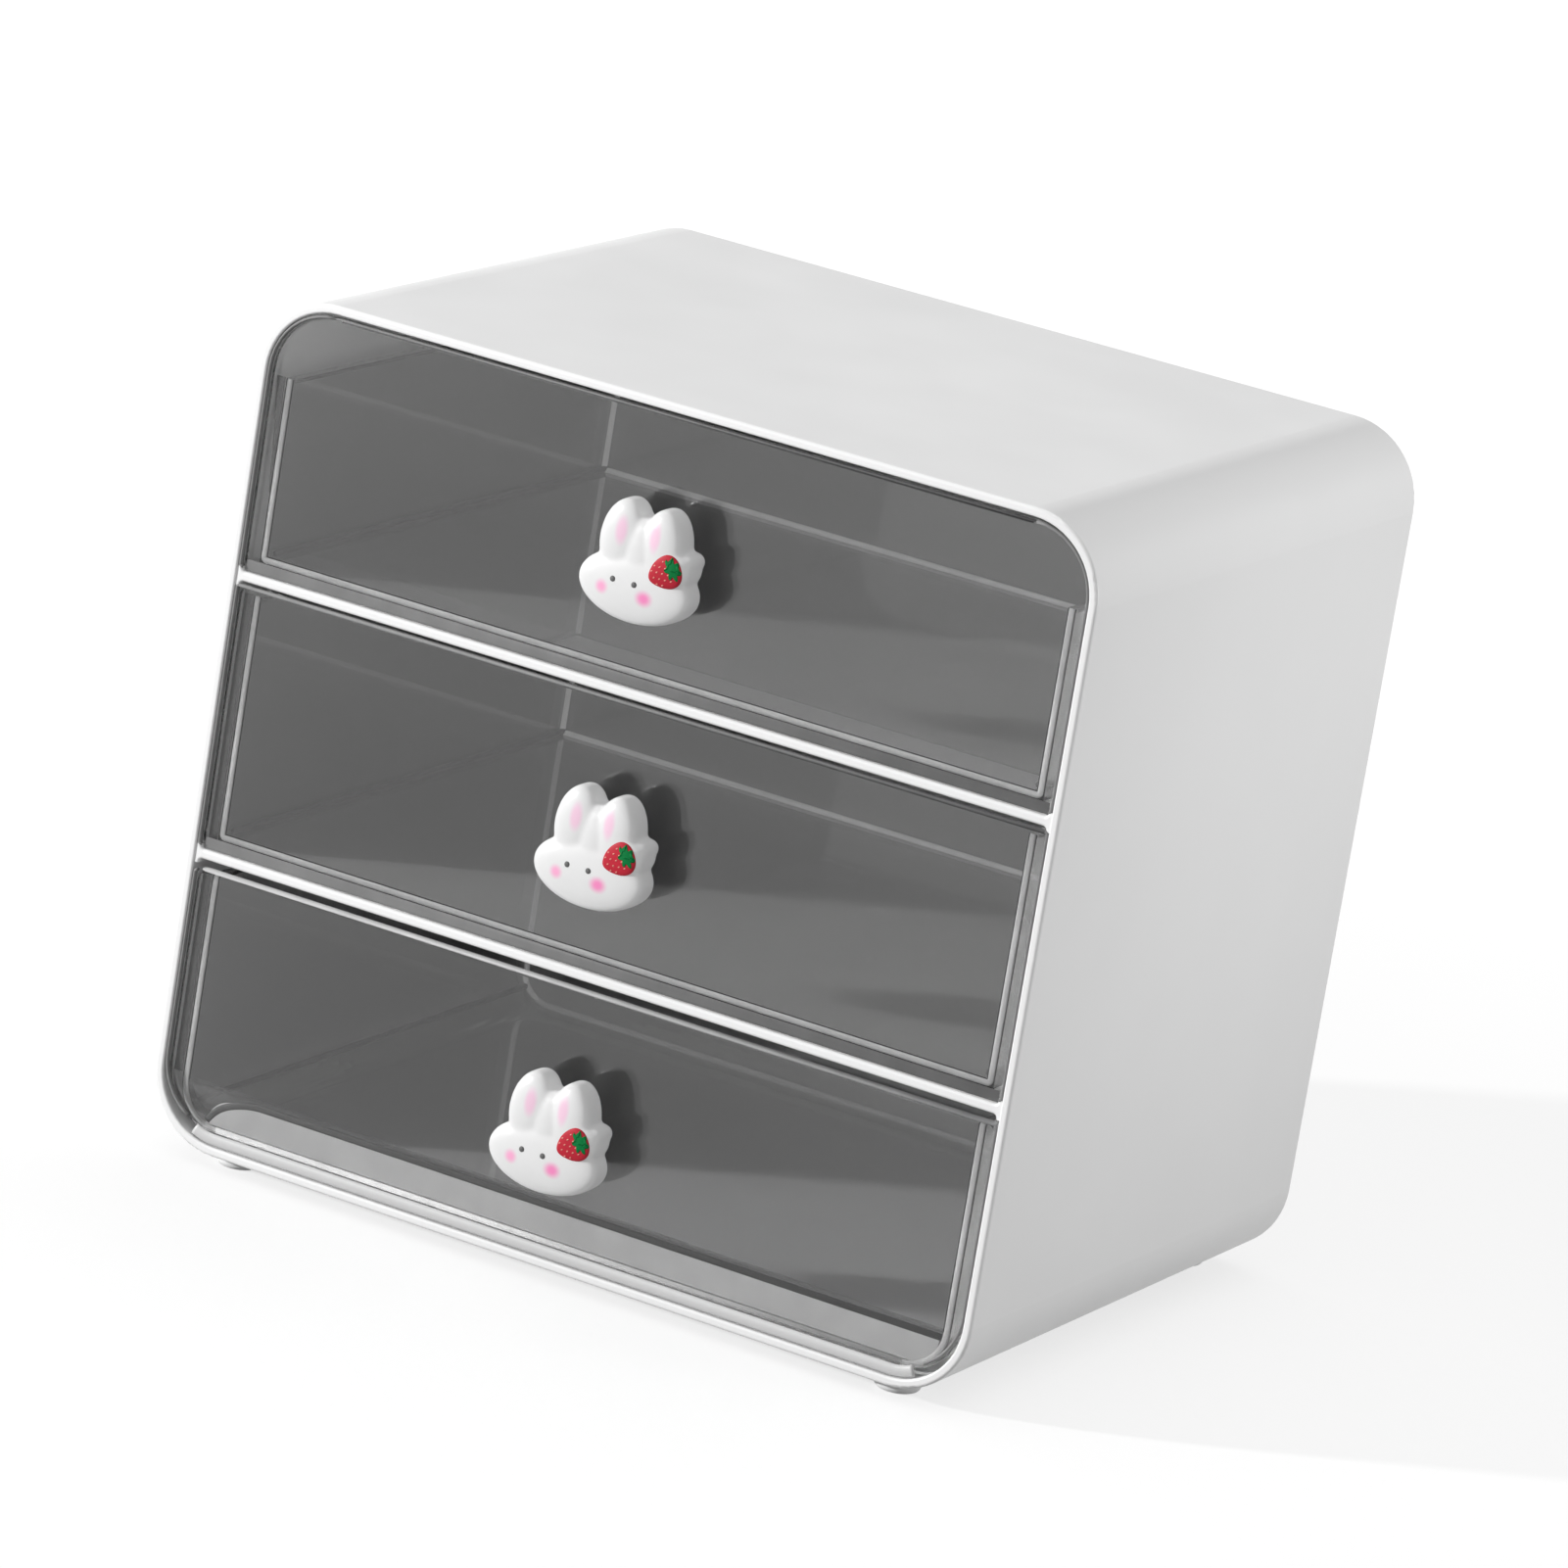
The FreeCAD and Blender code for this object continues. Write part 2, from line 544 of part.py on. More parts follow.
def screw(layer):
    """Build the pan-head screw that holds the knob from inside the drawer."""
    seat = "Derived.panel_back + Sizes.washer_thick"
    body = new_body("screw_" + layer)
    shank = new_sketch(body, "shank", "XZ_Plane")
    draw_circle(shank, "Sizes.screw_radius", value("screw_radius"))
    feature(body, "Pad", "thread", shank,
            "%s - Derived.knob_back + Sizes.screw_bite" % seat)
    head = new_sketch(body, "head", "XZ_Plane")
    draw_circle(head, "Sizes.screw_head_radius", value("screw_head_radius"))
    feature(body, "Pad", "pan", head, "Sizes.screw_head_height", True)
    top = value("screw_head_height")
    round_edges(body, "dome", "Sizes.screw_head_round", lambda box: in_plane_y(box, top))
    for number, (wide, tall) in enumerate((("slot_length", "slot_width"),
                                           ("slot_width", "slot_length"))):
        slot = new_sketch(body, "slot_%d" % number, "XZ_Plane", "-Sizes.screw_head_height")
        draw_rectangle(slot, "Sizes." + wide, "0", "Sizes." + tall, (value(wide), 0, value(tall)))
        bind(slot, AttachmentOffset__Base__y="-Sizes.%s/2" % tall)
        feature(body, "Pocket", "recess_%d" % number, slot, "Sizes.slot_deep", True)
    locate(body, "0", "Derived.front_y + " + seat,
           "Derived.floor_%s + %s" % (layer, screw_height(layer)))
    return body


def foot(name, x, y):
    """Build a round foot under the case."""
    body = new_body(name)
    outline = new_sketch(body, "outline", "XY_Plane")
    draw_circle(outline, "Sizes.foot_radius", value("foot_radius"))
    feature(body, "Pad", "disc", outline, "Sizes.foot_height")
    round_edges(body, "sole", "Sizes.foot_round", lambda box: near(box.ZMax, 0))
    locate(body, x=x, y=y)
    return body


def drawer(layer):
    """Build everything that slides out together in one layer."""
    return [tray(layer), front_panel(layer), knob(layer), berry(layer),
            ring("spacer_" + layer, layer, "Sizes.spacer_radius",
                 "Sizes.panel_recess - Derived.knob_back", "Derived.knob_back"),
            ring("washer_" + layer, layer, "Sizes.washer_radius", "Sizes.washer_thick",
                 "Derived.panel_back"),
            screw(layer)]


def feet():
    """Build the four feet."""
    side = "(Sizes.case_width/2 - Sizes.foot_side)"
    ends = {"front": "Derived.front_y + Sizes.foot_end",
            "back": "Derived.front_y + Sizes.case_depth - Sizes.foot_end"}
    return [foot("foot_%s_%s" % (end, hand), sign + side, place)
            for end, place in ends.items()
            for hand, sign in (("left", "-"), ("right", ""))]


def check_and_export(nodes):
    """Stop on any failed object, then write each sub-part's file."""
    doc.recompute()
    for item in doc.Objects:
        if "Invalid" in item.State or "Error" in item.State:
            raise RuntimeError("failed object: %s %s" % (item.Name, item.State))
    for node in nodes:
        if node.Shape.isNull() or not node.Shape.isValid():
            raise RuntimeError("bad shape: " + node.Label)
    os.makedirs("parts", exist_ok=True)
    for node in nodes:
        node.Shape.exportStep("parts/%s.step" % node.Label)
        box = node.Shape.BoundBox
        print("%-18s solids %d volume %10.1f  x %7.2f %7.2f  y %7.2f %7.2f  z %7.2f %7.2f"
              % (node.Label, len(node.Shape.Solids), node.Shape.Volume, box.XMin, box.XMax,
                 box.YMin, box.YMax, box.ZMin, box.ZMax))


def main():
    """Build every sub-part and write the files."""
    nodes = [case_sleeve(), back_panel(),
             shelf("shelf_upper", "Derived.ceiling_middle"),
             shelf("shelf_lower", "Derived.ceiling_bottom")]
    nodes += feet()
    for layer in LAYERS:
        nodes += drawer(layer)
    check_and_export(nodes)


main()
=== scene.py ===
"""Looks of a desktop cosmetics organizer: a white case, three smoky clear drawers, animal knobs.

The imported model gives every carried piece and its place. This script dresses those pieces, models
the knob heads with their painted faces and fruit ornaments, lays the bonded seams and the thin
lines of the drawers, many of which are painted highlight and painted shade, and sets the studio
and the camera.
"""

from __future__ import annotations

import json
import logging
import math
from dataclasses import astuple, dataclass, field
from enum import Enum

import bmesh
import bpy
from bmesh.types import BMEdge, BMesh, BMFace, BMVert
from bpy.types import Material, Node, NodeSocket, NodeTree, Object
from bpy.types import bpy_prop_collection as Sockets
from mathutils import Matrix, Vector
from mathutils.bvhtree import BVHTree

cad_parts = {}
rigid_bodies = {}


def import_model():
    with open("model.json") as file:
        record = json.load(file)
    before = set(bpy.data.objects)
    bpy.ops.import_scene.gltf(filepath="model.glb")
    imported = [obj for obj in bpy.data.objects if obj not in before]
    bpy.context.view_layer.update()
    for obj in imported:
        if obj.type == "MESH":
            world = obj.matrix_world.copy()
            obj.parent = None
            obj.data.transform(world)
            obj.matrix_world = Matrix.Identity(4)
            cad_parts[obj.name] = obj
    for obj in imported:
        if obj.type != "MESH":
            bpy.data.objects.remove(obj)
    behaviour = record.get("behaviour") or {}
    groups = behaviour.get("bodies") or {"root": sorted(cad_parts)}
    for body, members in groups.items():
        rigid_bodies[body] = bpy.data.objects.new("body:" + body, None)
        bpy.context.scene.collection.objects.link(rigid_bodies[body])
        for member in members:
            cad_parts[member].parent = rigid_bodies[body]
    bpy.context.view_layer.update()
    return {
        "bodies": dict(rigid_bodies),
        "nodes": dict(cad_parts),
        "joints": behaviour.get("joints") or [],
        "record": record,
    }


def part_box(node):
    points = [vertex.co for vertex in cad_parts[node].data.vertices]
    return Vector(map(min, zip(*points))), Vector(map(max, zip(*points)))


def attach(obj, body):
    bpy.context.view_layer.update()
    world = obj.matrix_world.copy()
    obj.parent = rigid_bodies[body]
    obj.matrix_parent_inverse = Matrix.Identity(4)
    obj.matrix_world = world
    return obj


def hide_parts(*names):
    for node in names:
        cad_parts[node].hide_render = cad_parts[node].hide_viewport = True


LOG = logging.getLogger("organizer")
MM = 0.001
WELD = 1e-6
FLOAT = "NodeSocketFloat"
SPOT_INPUTS = ("Across", "Up", "Half Width", "Half Height", "Softness")
WHITE = (1.0, 1.0, 1.0)
DUST = (0.5, 0.49, 0.47)
MOST_NOISE = (0.3, 0.7)  # nearly all of a noise texture's values lie between these
LEFT, RIGHT = Vector((-1, 0, 0)), Vector((1, 0, 0))
DOWN = Vector((0, 0, -1))
INWARD, OUTWARD = Vector((0, 1, 0)), Vector((0, -1, 0))
ROUND_SIDES = 10
CORNER_STEPS = 10
Colour = tuple[float, float, float]
Place = tuple[float, float, float]
Pair = tuple[float, float]


class Layer(Enum):
    """The drawers, by the word that their nodes and body end with."""

    TOP = "top"
    MIDDLE = "middle"
    BOTTOM = "bottom"

    def node(self, kind: str) -> str:
        """Returns the name of this layer's node of a kind, such as tray_top."""
        return f"{kind}_{self.value}"

    @property
    def body(self) -> str:
        """The body that this layer's pieces ride on."""
        return f"drawer_{self.value}"


class Slot(Enum):
    """The record's material slots for the added pieces, which place() is given but does not use."""

    SMOKE = "smoke_clear"
    RESIN = "knob_resin"
    BERRY = "berry_red"


# ---- node trees


class Tree:
    """A node tree being filled, with short ways to add nodes and join sockets."""

    def __init__(self, tree: NodeTree) -> None:
        """Starts on the tree of a material, a world or a group."""
        self.tree = tree

    def add(self, kind: str, values: dict | None = None, **settings: object) -> Node:
        """Adds a node.

        Args:
            kind: the node's type, without its ShaderNode prefix.
            values: numbers, colours or sockets for its inputs, by name or index.
            settings: the node's own properties.

        Returns:
            The new node.
        """
        node = self.tree.nodes.new("ShaderNode" + kind)
        for name, setting in settings.items():
            setattr(node, name, setting)
        self.fill(node, values or {})
        return node

    def fill(self, node: Node, values: dict) -> None:
        """Gives some of a node's inputs plain values, or joins them to outputs.

        Args:
            node: the node.
            values: numbers, colours, vectors or output sockets, by the input's name or index.
        """
        for name, value in values.items():
            socket = node.inputs[name]
            if isinstance(value, NodeSocket):
                self.tree.links.new(value, socket)
            elif socket.type == "RGBA" and len(value) == 3:
                socket.default_value = (*value, 1.0)
            else:
                socket.default_value = value

    def maths(self, operation: str, *values: object, clamp: bool = False) -> NodeSocket:
        """Returns the result of a Math node, from its inputs in order."""
        node = self.add("Math", dict(enumerate(values)), operation=operation, use_clamp=clamp)
        return node.outputs[0]

    def blend(self, share: object, first: object, second: object) -> NodeSocket:
        """Returns a mix of two colours, of which the second shows by the share."""
        node = self.add("Mix", data_type="RGBA")
        self.fill(node, {"Factor": share, 6: first, 7: second})
        return node.outputs[2]

    def remap(self, value: object, low: float, high: float, start: float, end: float) -> NodeSocket:
        """Returns a number mapped from low and high to start and end, and clamped to them."""
        return self.add("MapRange", {0: value, 1: low, 2: high, 3: start, 4: end}).outputs[0]

    def noise(self, place: object, scale: object, detail: float) -> NodeSocket:
        """Returns a noise texture's value, with its scale in waves to the metre."""
        return self.add("TexNoise", {"Vector": place, "Scale": scale, "Detail": detail}).outputs[0]

    def bump(self, height: object, strength: float, depth: float) -> NodeSocket:
        """Returns the normal of a height, of which 1 stands for a depth in metres."""
        values = {"Strength": strength, "Distance": depth, "Height": height}
        return self.add("Bump", values).outputs["Normal"]

    def group(self, group: NodeTree, values: dict) -> Sockets:
        """Returns the outputs of a node group that is given some values by name."""
        return self.add("Group", values, node_tree=group).outputs


def new_group(
    name: str, inputs: tuple[str, ...], outputs: tuple[str, ...]
) -> tuple[Tree, Sockets, Node]:
    """Starts a shader node group.

    Args:
        name: the group's name.
        inputs: the names of its inputs, which are numbers except for Vector.
        outputs: the names of its outputs, which are numbers.

    Returns:
        The tree, what the group is given and its output node.
    """
    group = bpy.data.node_groups.new(name, "ShaderNodeTree")
    for socket in inputs:
        kind = "NodeSocketVector" if socket == "Vector" else FLOAT
        group.interface.new_socket(socket, in_out="INPUT", socket_type=kind)
    for socket in outputs:
        group.interface.new_socket(socket, in_out="OUTPUT", socket_type=FLOAT)
    given = group.nodes.new("NodeGroupInput").outputs
    return Tree(group), given, group.nodes.new("NodeGroupOutput")


def moulded_skin_group() -> NodeTree:
    """Returns the group for moulded plastic: slow waviness, fine grain and cloudy gloss."""
    grain_height, cloud, fleck = 0.12, 0.04, 0.01  # beside the waves' height, and in roughness
    grain_span = (0.35, 0.65)
    inputs = ("Vector", "Wave", "Grain", "Roughness")
    tree, given, result = new_group("MouldedSkin", inputs, ("Height", "Roughness", "Cloud"))
    wave = tree.noise(given["Vector"], given["Wave"], detail=2.0)
    grain = tree.noise(given["Vector"], given["Grain"], detail=3.0)
    slow = tree.remap(wave, *MOST_NOISE, -cloud, cloud)
    fine = tree.remap(grain, *grain_span, -fleck, fleck)
    rough = tree.maths("ADD", tree.maths("ADD", slow, fine), given["Roughness"], clamp=True)
    values = {
        "Height": tree.maths("MULTIPLY_ADD", grain, grain_height, wave),
        "Roughness": rough,
        "Cloud": tree.remap(wave, *MOST_NOISE, 0.0, 1.0),
    }
    tree.fill(result, values)
    return tree.tree


def handling_group() -> NodeTree:
    """Returns the group for handling marks: slanting scuffs, and dust on what faces up."""
    stretch, slant = 0.06, 34.0
    scuff_scale, speck_scale = 260.0, 1400.0
    scuff_span, speck_span, facing_up = (0.64, 0.72), (0.62, 0.75), (0.6, 1.0)
    tree, given, result = new_group("HandlingMarks", ("Vector",), ("Scuff", "Dust"))
    values = {0: given["Vector"], 1: (1.0, 1.0, stretch)}
    drawn = tree.add("VectorMath", values, operation="MULTIPLY").outputs[0]
    values = {"Vector": drawn, "Angle": math.radians(slant)}
    turned = tree.add("VectorRotate", values, rotation_type="Y_AXIS").outputs[0]
    lines = tree.noise(turned, scuff_scale, detail=2.0)
    specks = tree.noise(given["Vector"], speck_scale, detail=1.0)
    facing = tree.add("SeparateXYZ", {0: tree.add("NewGeometry").outputs["Normal"]})
    up = tree.remap(facing.outputs["Z"], *facing_up, 0.0, 1.0)
    values = {
        "Scuff": tree.remap(lines, *scuff_span, 0.0, 1.0),
        "Dust": tree.maths("MULTIPLY", up, tree.remap(specks, *speck_span, 0.0, 1.0)),
    }
    tree.fill(result, values)
    return tree.tree


def spot_group() -> NodeTree:
    """Returns the group for one soft-edged spot painted on the front, in the plane of X and Z."""
    tree, given, result = new_group("PaintedSpot", ("Vector", *SPOT_INPUTS), ("Mask",))
    parts = tree.add("SeparateXYZ", {0: given["Vector"]}).outputs
    squares = []
    for part, middle, half in (("X", "Across", "Half Width"), ("Z", "Up", "Half Height")):
        away = tree.maths("SUBTRACT", parts[part], given[middle])
        squares.append(tree.maths("POWER", tree.maths("DIVIDE", away, given[half]), 2.0))
    reach = tree.maths("SQRT", tree.maths("ADD", *squares))
    inner = tree.maths("SUBTRACT", 1.0, given["Softness"])
    outer = tree.maths("ADD", 1.0, given["Softness"])
    values = {0: reach, 1: inner, 2: outer, 3: 1.0, 4: 0.0}
    fade = tree.add("MapRange", values, interpolation_type="SMOOTHSTEP").outputs[0]
    front = tree.remap(parts["Y"], 0.0, 1.0, 1.0, 0.0)
    tree.fill(result, {"Mask": tree.maths("MULTIPLY", fade, front)})
    return tree.tree


@dataclass
class Groups:
    """The shared shader groups, each built once."""

    skin: NodeTree = field(default_factory=moulded_skin_group)
    handling: NodeTree = field(default_factory=handling_group)
    spot: NodeTree = field(default_factory=spot_group)


def object_place(tree: Tree) -> NodeSocket:
    """Returns the Object coordinates in a material's tree."""
    return tree.add("TexCoord").outputs["Object"]


def start_material(material: Material) -> tuple[Tree, Node, NodeSocket]:
    """Starts a node material.

    Args:
        material: a new material.

    Returns:
        Its tree, its Principled shader and the Object coordinates.
    """
    material.use_nodes = True
    material.node_tree.nodes.clear()
    tree = Tree(material.node_tree)
    shader = tree.add("BsdfPrincipled")
    tree.add("OutputMaterial", {"Surface": shader.outputs[0]})
    return tree, shader, object_place(tree)


# ---- finishes


def grey(level: float) -> Colour:
    """Returns a grey of one level."""
    return (level, level, level)


def scaled(parts: tuple[float, ...], share: float) -> tuple[float, ...]:
    """Returns a colour or a size with each of its parts multiplied."""
    return tuple(part * share for part in parts)


@dataclass(frozen=True)
class Finish:
    """What every finish has: a name, a colour and a moulded skin, with lengths in metres."""

    name: str
    colour: Colour
    roughness: float = 0.5
    wave: float = 120.0
    grain: float = 900.0
    height: str = "Height"
    relief: float = 0.0
    relief_depth: float = 0.00005

    def material(self, groups: Groups) -> Material:
        """Returns the material.

        Args:
            groups: the shared groups.
        """
        material = bpy.data.materials.new(self.name)
        tree, shader, place = start_material(material)
        waves = {"Wave": self.wave, "Grain": self.grain, "Roughness": self.roughness}
        skin = tree.group(groups.skin, {"Vector": place, **waves})
        tree.fill(shader, {"Base Color": self.colour, "Roughness": skin["Roughness"]})
        if self.relief:
            normal = tree.bump(skin[self.height], self.relief, self.relief_depth)
            tree.fill(shader, {"Normal": normal})
        self.detail(tree, shader, skin, groups)
        return material

    def detail(self, tree: Tree, shader: Node, skin: Sockets, groups: Groups) -> None:
        """Adds what only this finish has.

        Args:
            tree: the material's tree.
            shader: its Principled shader.
            skin: what the skin group gives.
            groups: the shared groups.
        """
        raise NotImplementedError

    def clouded(self, tree: Tree, skin: Sockets, share: float) -> NodeSocket:
        """Returns the finish's colour, of which only a share is left where the skin is cloudy."""
        return tree.blend(skin["Cloud"], self.colour, scaled(self.colour, share))


@dataclass(frozen=True)
class GlossPlastic(Finish):
    """Opaque moulded plastic with a smooth skin."""

    wave: float = 28.0
    height: str = "Cloud"
    relief: float = 0.004
    relief_depth: float = 0.00006
    cloud: float = 0.99
    dust: float = 0.004
    scuff: float = 0.02
    ior: float = 1.5

    def detail(self, tree: Tree, shader: Node, skin: Sockets, groups: Groups) -> None:
        """Adds clouds, dust and scuffs; the arguments are Finish.detail's."""
        marks = tree.group(groups.handling, {"Vector": object_place(tree)})
        dust = tree.maths("MULTIPLY", marks["Dust"], self.dust)
        values = {
            "Base Color": tree.blend(dust, self.clouded(tree, skin, self.cloud), DUST),
            "Roughness": tree.maths("MULTIPLY_ADD", marks["Scuff"], self.scuff, skin["Roughness"]),
            "IOR": self.ior,
        }
        tree.fill(shader, values)


@dataclass(frozen=True)
class SmokyClear(Finish):
    """Clear tinted acrylic that lets lamps through to what is behind it."""

    roughness: float = 0.004
    wave: float = 16.0
    height: str = "Cloud"
    relief: float = 0.02
    relief_depth: float = 0.00002
    scuff: float = 0.03
    ior: float = 1.49
    lamp_share: float = 0.8
    hard_coat: float = 1.0
    coat_ior: float = 1.5

    def detail(self, tree: Tree, shader: Node, skin: Sockets, groups: Groups) -> None:
        """Adds scuffs, the clear sheet and its coat; the arguments are Finish.detail's."""
        marks = tree.group(groups.handling, {"Vector": object_place(tree)})
        scuffs = tree.maths("MULTIPLY", marks["Scuff"], self.scuff)
        values = {
            "Roughness": tree.maths("ADD", scuffs, self.roughness, clamp=True),
            "IOR": self.ior,
            "Transmission Weight": 1.0,
            "Coat Weight": self.hard_coat,
            "Coat IOR": self.coat_ior,
            "Coat Roughness": self.roughness,
        }
        tree.fill(shader, values)
        lit = tree.add("BsdfTransparent", {"Color": grey(math.sqrt(self.lamp_share))}).outputs[0]
        shadow = tree.add("LightPath").outputs["Is Shadow Ray"]
        mixed = tree.add("MixShader", {0: shadow, 1: shader.outputs[0], 2: lit}).outputs[0]
        output = next(node for node in tree.tree.nodes if node.type == "OUTPUT_MATERIAL")
        tree.fill(output, {"Surface": mixed})


@dataclass(frozen=True)
class Metal(Finish):
    """Bright plated steel with fine turning marks."""

    roughness: float = 0.28
    wave: float = 200.0
    grain: float = 4000.0
    relief: float = 0.3
    relief_depth: float = 0.00002

    def detail(self, tree: Tree, shader: Node, skin: Sockets, groups: Groups) -> None:
        """Makes it metal; the arguments are Finish.detail's."""
        tree.fill(shader, {"Metallic": 1.0})


@dataclass(frozen=True)
class GlowFinish(Finish):
    """A cloudy colour with a glow of painted light, for bond lines drawn bright as painted
    highlight, for lines of painted shade and for the berry and leaves.
    """

    glow: float = 0.0
    shine: float = 0.5
    cloud: float = 0.85

    def detail(self, tree: Tree, shader: Node, skin: Sockets, groups: Groups) -> None:
        """Adds the clouds and their glow, which is painted light; the arguments are
        Finish.detail's.
        """
        cloudy = self.clouded(tree, skin, self.cloud)
        glow = {"Emission Color": cloudy, "Emission Strength": self.glow}
        tree.fill(shader, {"Base Color": cloudy, "Specular IOR Level": self.shine, **glow})


@dataclass(frozen=True)
class Spot:
    """A painted spot on the face, in millimetres from the knob's middle.

    Its first fields are SPOT_INPUTS, in order.
    """

    across: float
    up: float
    half_width: float
    half_height: float
    softness: float
    strength: float
    colour: Colour


@dataclass(frozen=True)
class PaintedResin(Finish):
    """White cast resin with sprayed cheeks and ear stripes, and a glow of painted light that lifts
    its shaded side.
    """

    middle: Place = (0.0, 0.0, 0.0)
    roughness: float = 0.34
    wave: float = 160.0
    grain: float = 2400.0
    relief: float = 0.1
    cloud: float = 0.97
    # painted light: a glow that lifts the knob's shaded side
    glow: float = 0.24
    varnish: float = 0.3
    spots: tuple[Spot, ...] = (
        Spot(-4.7, 7.6, 1.5, 3.2, 0.5, 0.7, (0.72, 0.40, 0.56)),
        Spot(4.9, 8.0, 1.4, 3.3, 0.5, 0.7, (0.72, 0.40, 0.56)),
        Spot(-7.7, -7.4, 1.4, 1.4, 0.7, 0.9, (0.74, 0.28, 0.48)),
        Spot(4.5, -7.5, 1.8, 1.55, 0.7, 1.0, (0.72, 0.20, 0.42)),
    )

    def detail(self, tree: Tree, shader: Node, skin: Sockets, groups: Groups) -> None:
        """Adds the painted spots, the glow of painted light and the varnish; the arguments are
        Finish.detail's.
        """
        values = {"Location": scaled(self.middle, -1 / MM), "Scale": (1 / MM,) * 3}
        values["Vector"] = object_place(tree)
        centred = tree.add("Mapping", values, vector_type="POINT").outputs[0]
        paint = self.clouded(tree, skin, self.cloud)
        for spot in self.spots:
            values = {"Vector": centred, **dict(zip(SPOT_INPUTS, astuple(spot)))}
            mask = tree.maths("MULTIPLY", tree.group(groups.spot, values)["Mask"], spot.strength)
            paint = tree.blend(mask, paint, spot.colour)
        values = {
            "Base Color": paint,
            "Emission Color": paint,
            "Emission Strength": self.glow,
            "Coat Weight": self.varnish,
        }
        tree.fill(shader, values)


THIN_SHEET = {"ior": 1.15, "lamp_share": 0.80, "coat_ior": 1.7}
FINISHES = (
    GlossPlastic("case_white", grey(0.86), roughness=0.335),
    SmokyClear("smoke_panel", grey(0.79), lamp_share=0.92, hard_coat=0.45),
    SmokyClear("smoke_tray", grey(0.51), **THIN_SHEET),
    SmokyClear("smoke_tray_deep", grey(0.62), **THIN_SHEET),
    GlossPlastic("knob_resin", grey(0.80), roughness=0.35),
    # painted light: the skirt's white stands for the lit case floor under the bottom panel
    GlossPlastic("skirt_painted_light", grey(0.60), roughness=0.4),
    Metal("plated_steel", (0.75, 0.75, 0.77)),
    GlossPlastic("foot_pad", grey(0.86), roughness=0.5),
    # painted highlight: the light, faintly glowing bead where the tray's cut ends meet the panel
    GlowFinish("bond_line_highlight", grey(0.30), glow=0.03),
    # painted highlight: a bright glowing line for lit edges
    GlowFinish("painted_highlight_line", grey(0.5), glow=0.08),
    # painted highlight: the light, glowing line on the seam at the tray's back corners
    GlowFinish("back_seam_highlight", grey(0.6), glow=0.22),
    # painted light: a faint line with a small glow on the upper panels' cut top edge
    GlowFinish("faint_painted_edge", grey(0.13), glow=0.02, shine=0.2),
    # painted shade: the dark line in the gap between the panel's edge and the case's rim
    GlowFinish("rim_shade_line", grey(0.26), glow=0.02, shine=0.2),
    # painted shade with a glow of painted light: the grey band for the shaded gap under a tray
    GlowFinish("sill_line", grey(0.11), glow=0.8, shine=0.2),
    # painted light: a pale glowing film for the lit floor seen through the bottom tray's lip
    GlowFinish("lip_painted_light", grey(0.29), glow=0.04),
    # painted shade: near-black lines in gaps, in creases and along the lip's edge
    GlowFinish("painted_shade_line", grey(0.04), glow=0.0, shine=0.3),
    # the berry's and leaves' glows are painted light
    GlowFinish("berry_red", (0.49, 0.022, 0.04), glow=0.07, shine=0.15),
    GlowFinish("leaf_green", (0.003, 0.18, 0.045), glow=0.04, shine=0.1),
    GlossPlastic("seed_cream", (0.70, 0.25, 0.20), roughness=0.4),
    GlossPlastic("eye_grey", grey(0.10), roughness=0.6),
)
CARRIED = {
    "case_white": ("case", "shelf", "back"),
    "smoke_tray": ("tray", "spacer"),
    "smoke_panel": ("front",),
    "knob_resin": ("knob", "berry"),
    "plated_steel": ("washer", "screw"),
    "foot_pad": ("foot",),
}


# ---- mesh helpers


def finish_piece(name: str, mesh: BMesh, smooth: bool = True) -> Object:
    """Turns a bmesh into an object at the origin.

    Args:
        name: the piece's name.
        mesh: the shape, already in place.
        smooth: whether its faces shade smoothly.

    Returns:
        The new object.
    """
    bmesh.ops.recalc_face_normals(mesh, faces=mesh.faces)
    for face in mesh.faces:
        face.smooth = smooth
    data = bpy.data.meshes.new(name)
    mesh.to_mesh(data)
    mesh.free()
    piece = bpy.data.objects.new(name, data)
    bpy.context.scene.collection.objects.link(piece)
    return piece


def dress(piece: Object, material: Material) -> None:
    """Gives a piece one material."""
    piece.data.materials.clear()
    piece.data.materials.append(material)


def put(mesh: BMesh, verts: list[BMVert], place: Vector, turn: Matrix, size: Place) -> None:
    """Sizes a new shape's vertices by a factor for each axis, and turns and places them."""
    matrix = Matrix.Translation(place) @ turn @ Matrix.Diagonal((*size, 1.0))
    bmesh.ops.transform(mesh, matrix=matrix, verts=verts)


def spin(degrees: float, axis: str) -> Matrix:
    """Returns a turn about an axis, as a 4 x 4 matrix."""
    return Matrix.Rotation(math.radians(degrees), 4, axis)


def mirror_halves(mesh: BMesh) -> None:
    """Adds a mirrored copy on the other side of the object's middle.

    Args:
        mesh: the half, whose faces on the middle plane are removed.
    """
    caps = [face for face in mesh.faces if all(abs(vert.co.x) < WELD for vert in face.verts)]
    bmesh.ops.delete(mesh, geom=caps, context="FACES_ONLY")
    every = [*mesh.verts, *mesh.edges, *mesh.faces]
    bmesh.ops.mirror(mesh, geom=every, matrix=Matrix.Identity(4), merge_dist=WELD, axis="X")


def of_kind(items: list, kind: type) -> list:
    """Returns those of an operation's results that are of one kind, such as its vertices."""
    return [item for item in items if isinstance(item, kind)]


def surface_of(piece: Object) -> BVHTree:
    """Returns a piece's surface, for laying things on it.

    Args:
        piece: the piece.
    """
    mesh = bmesh.new()
    mesh.from_mesh(piece.data)
    tree = BVHTree.FromBMesh(mesh)
    mesh.free()
    return tree


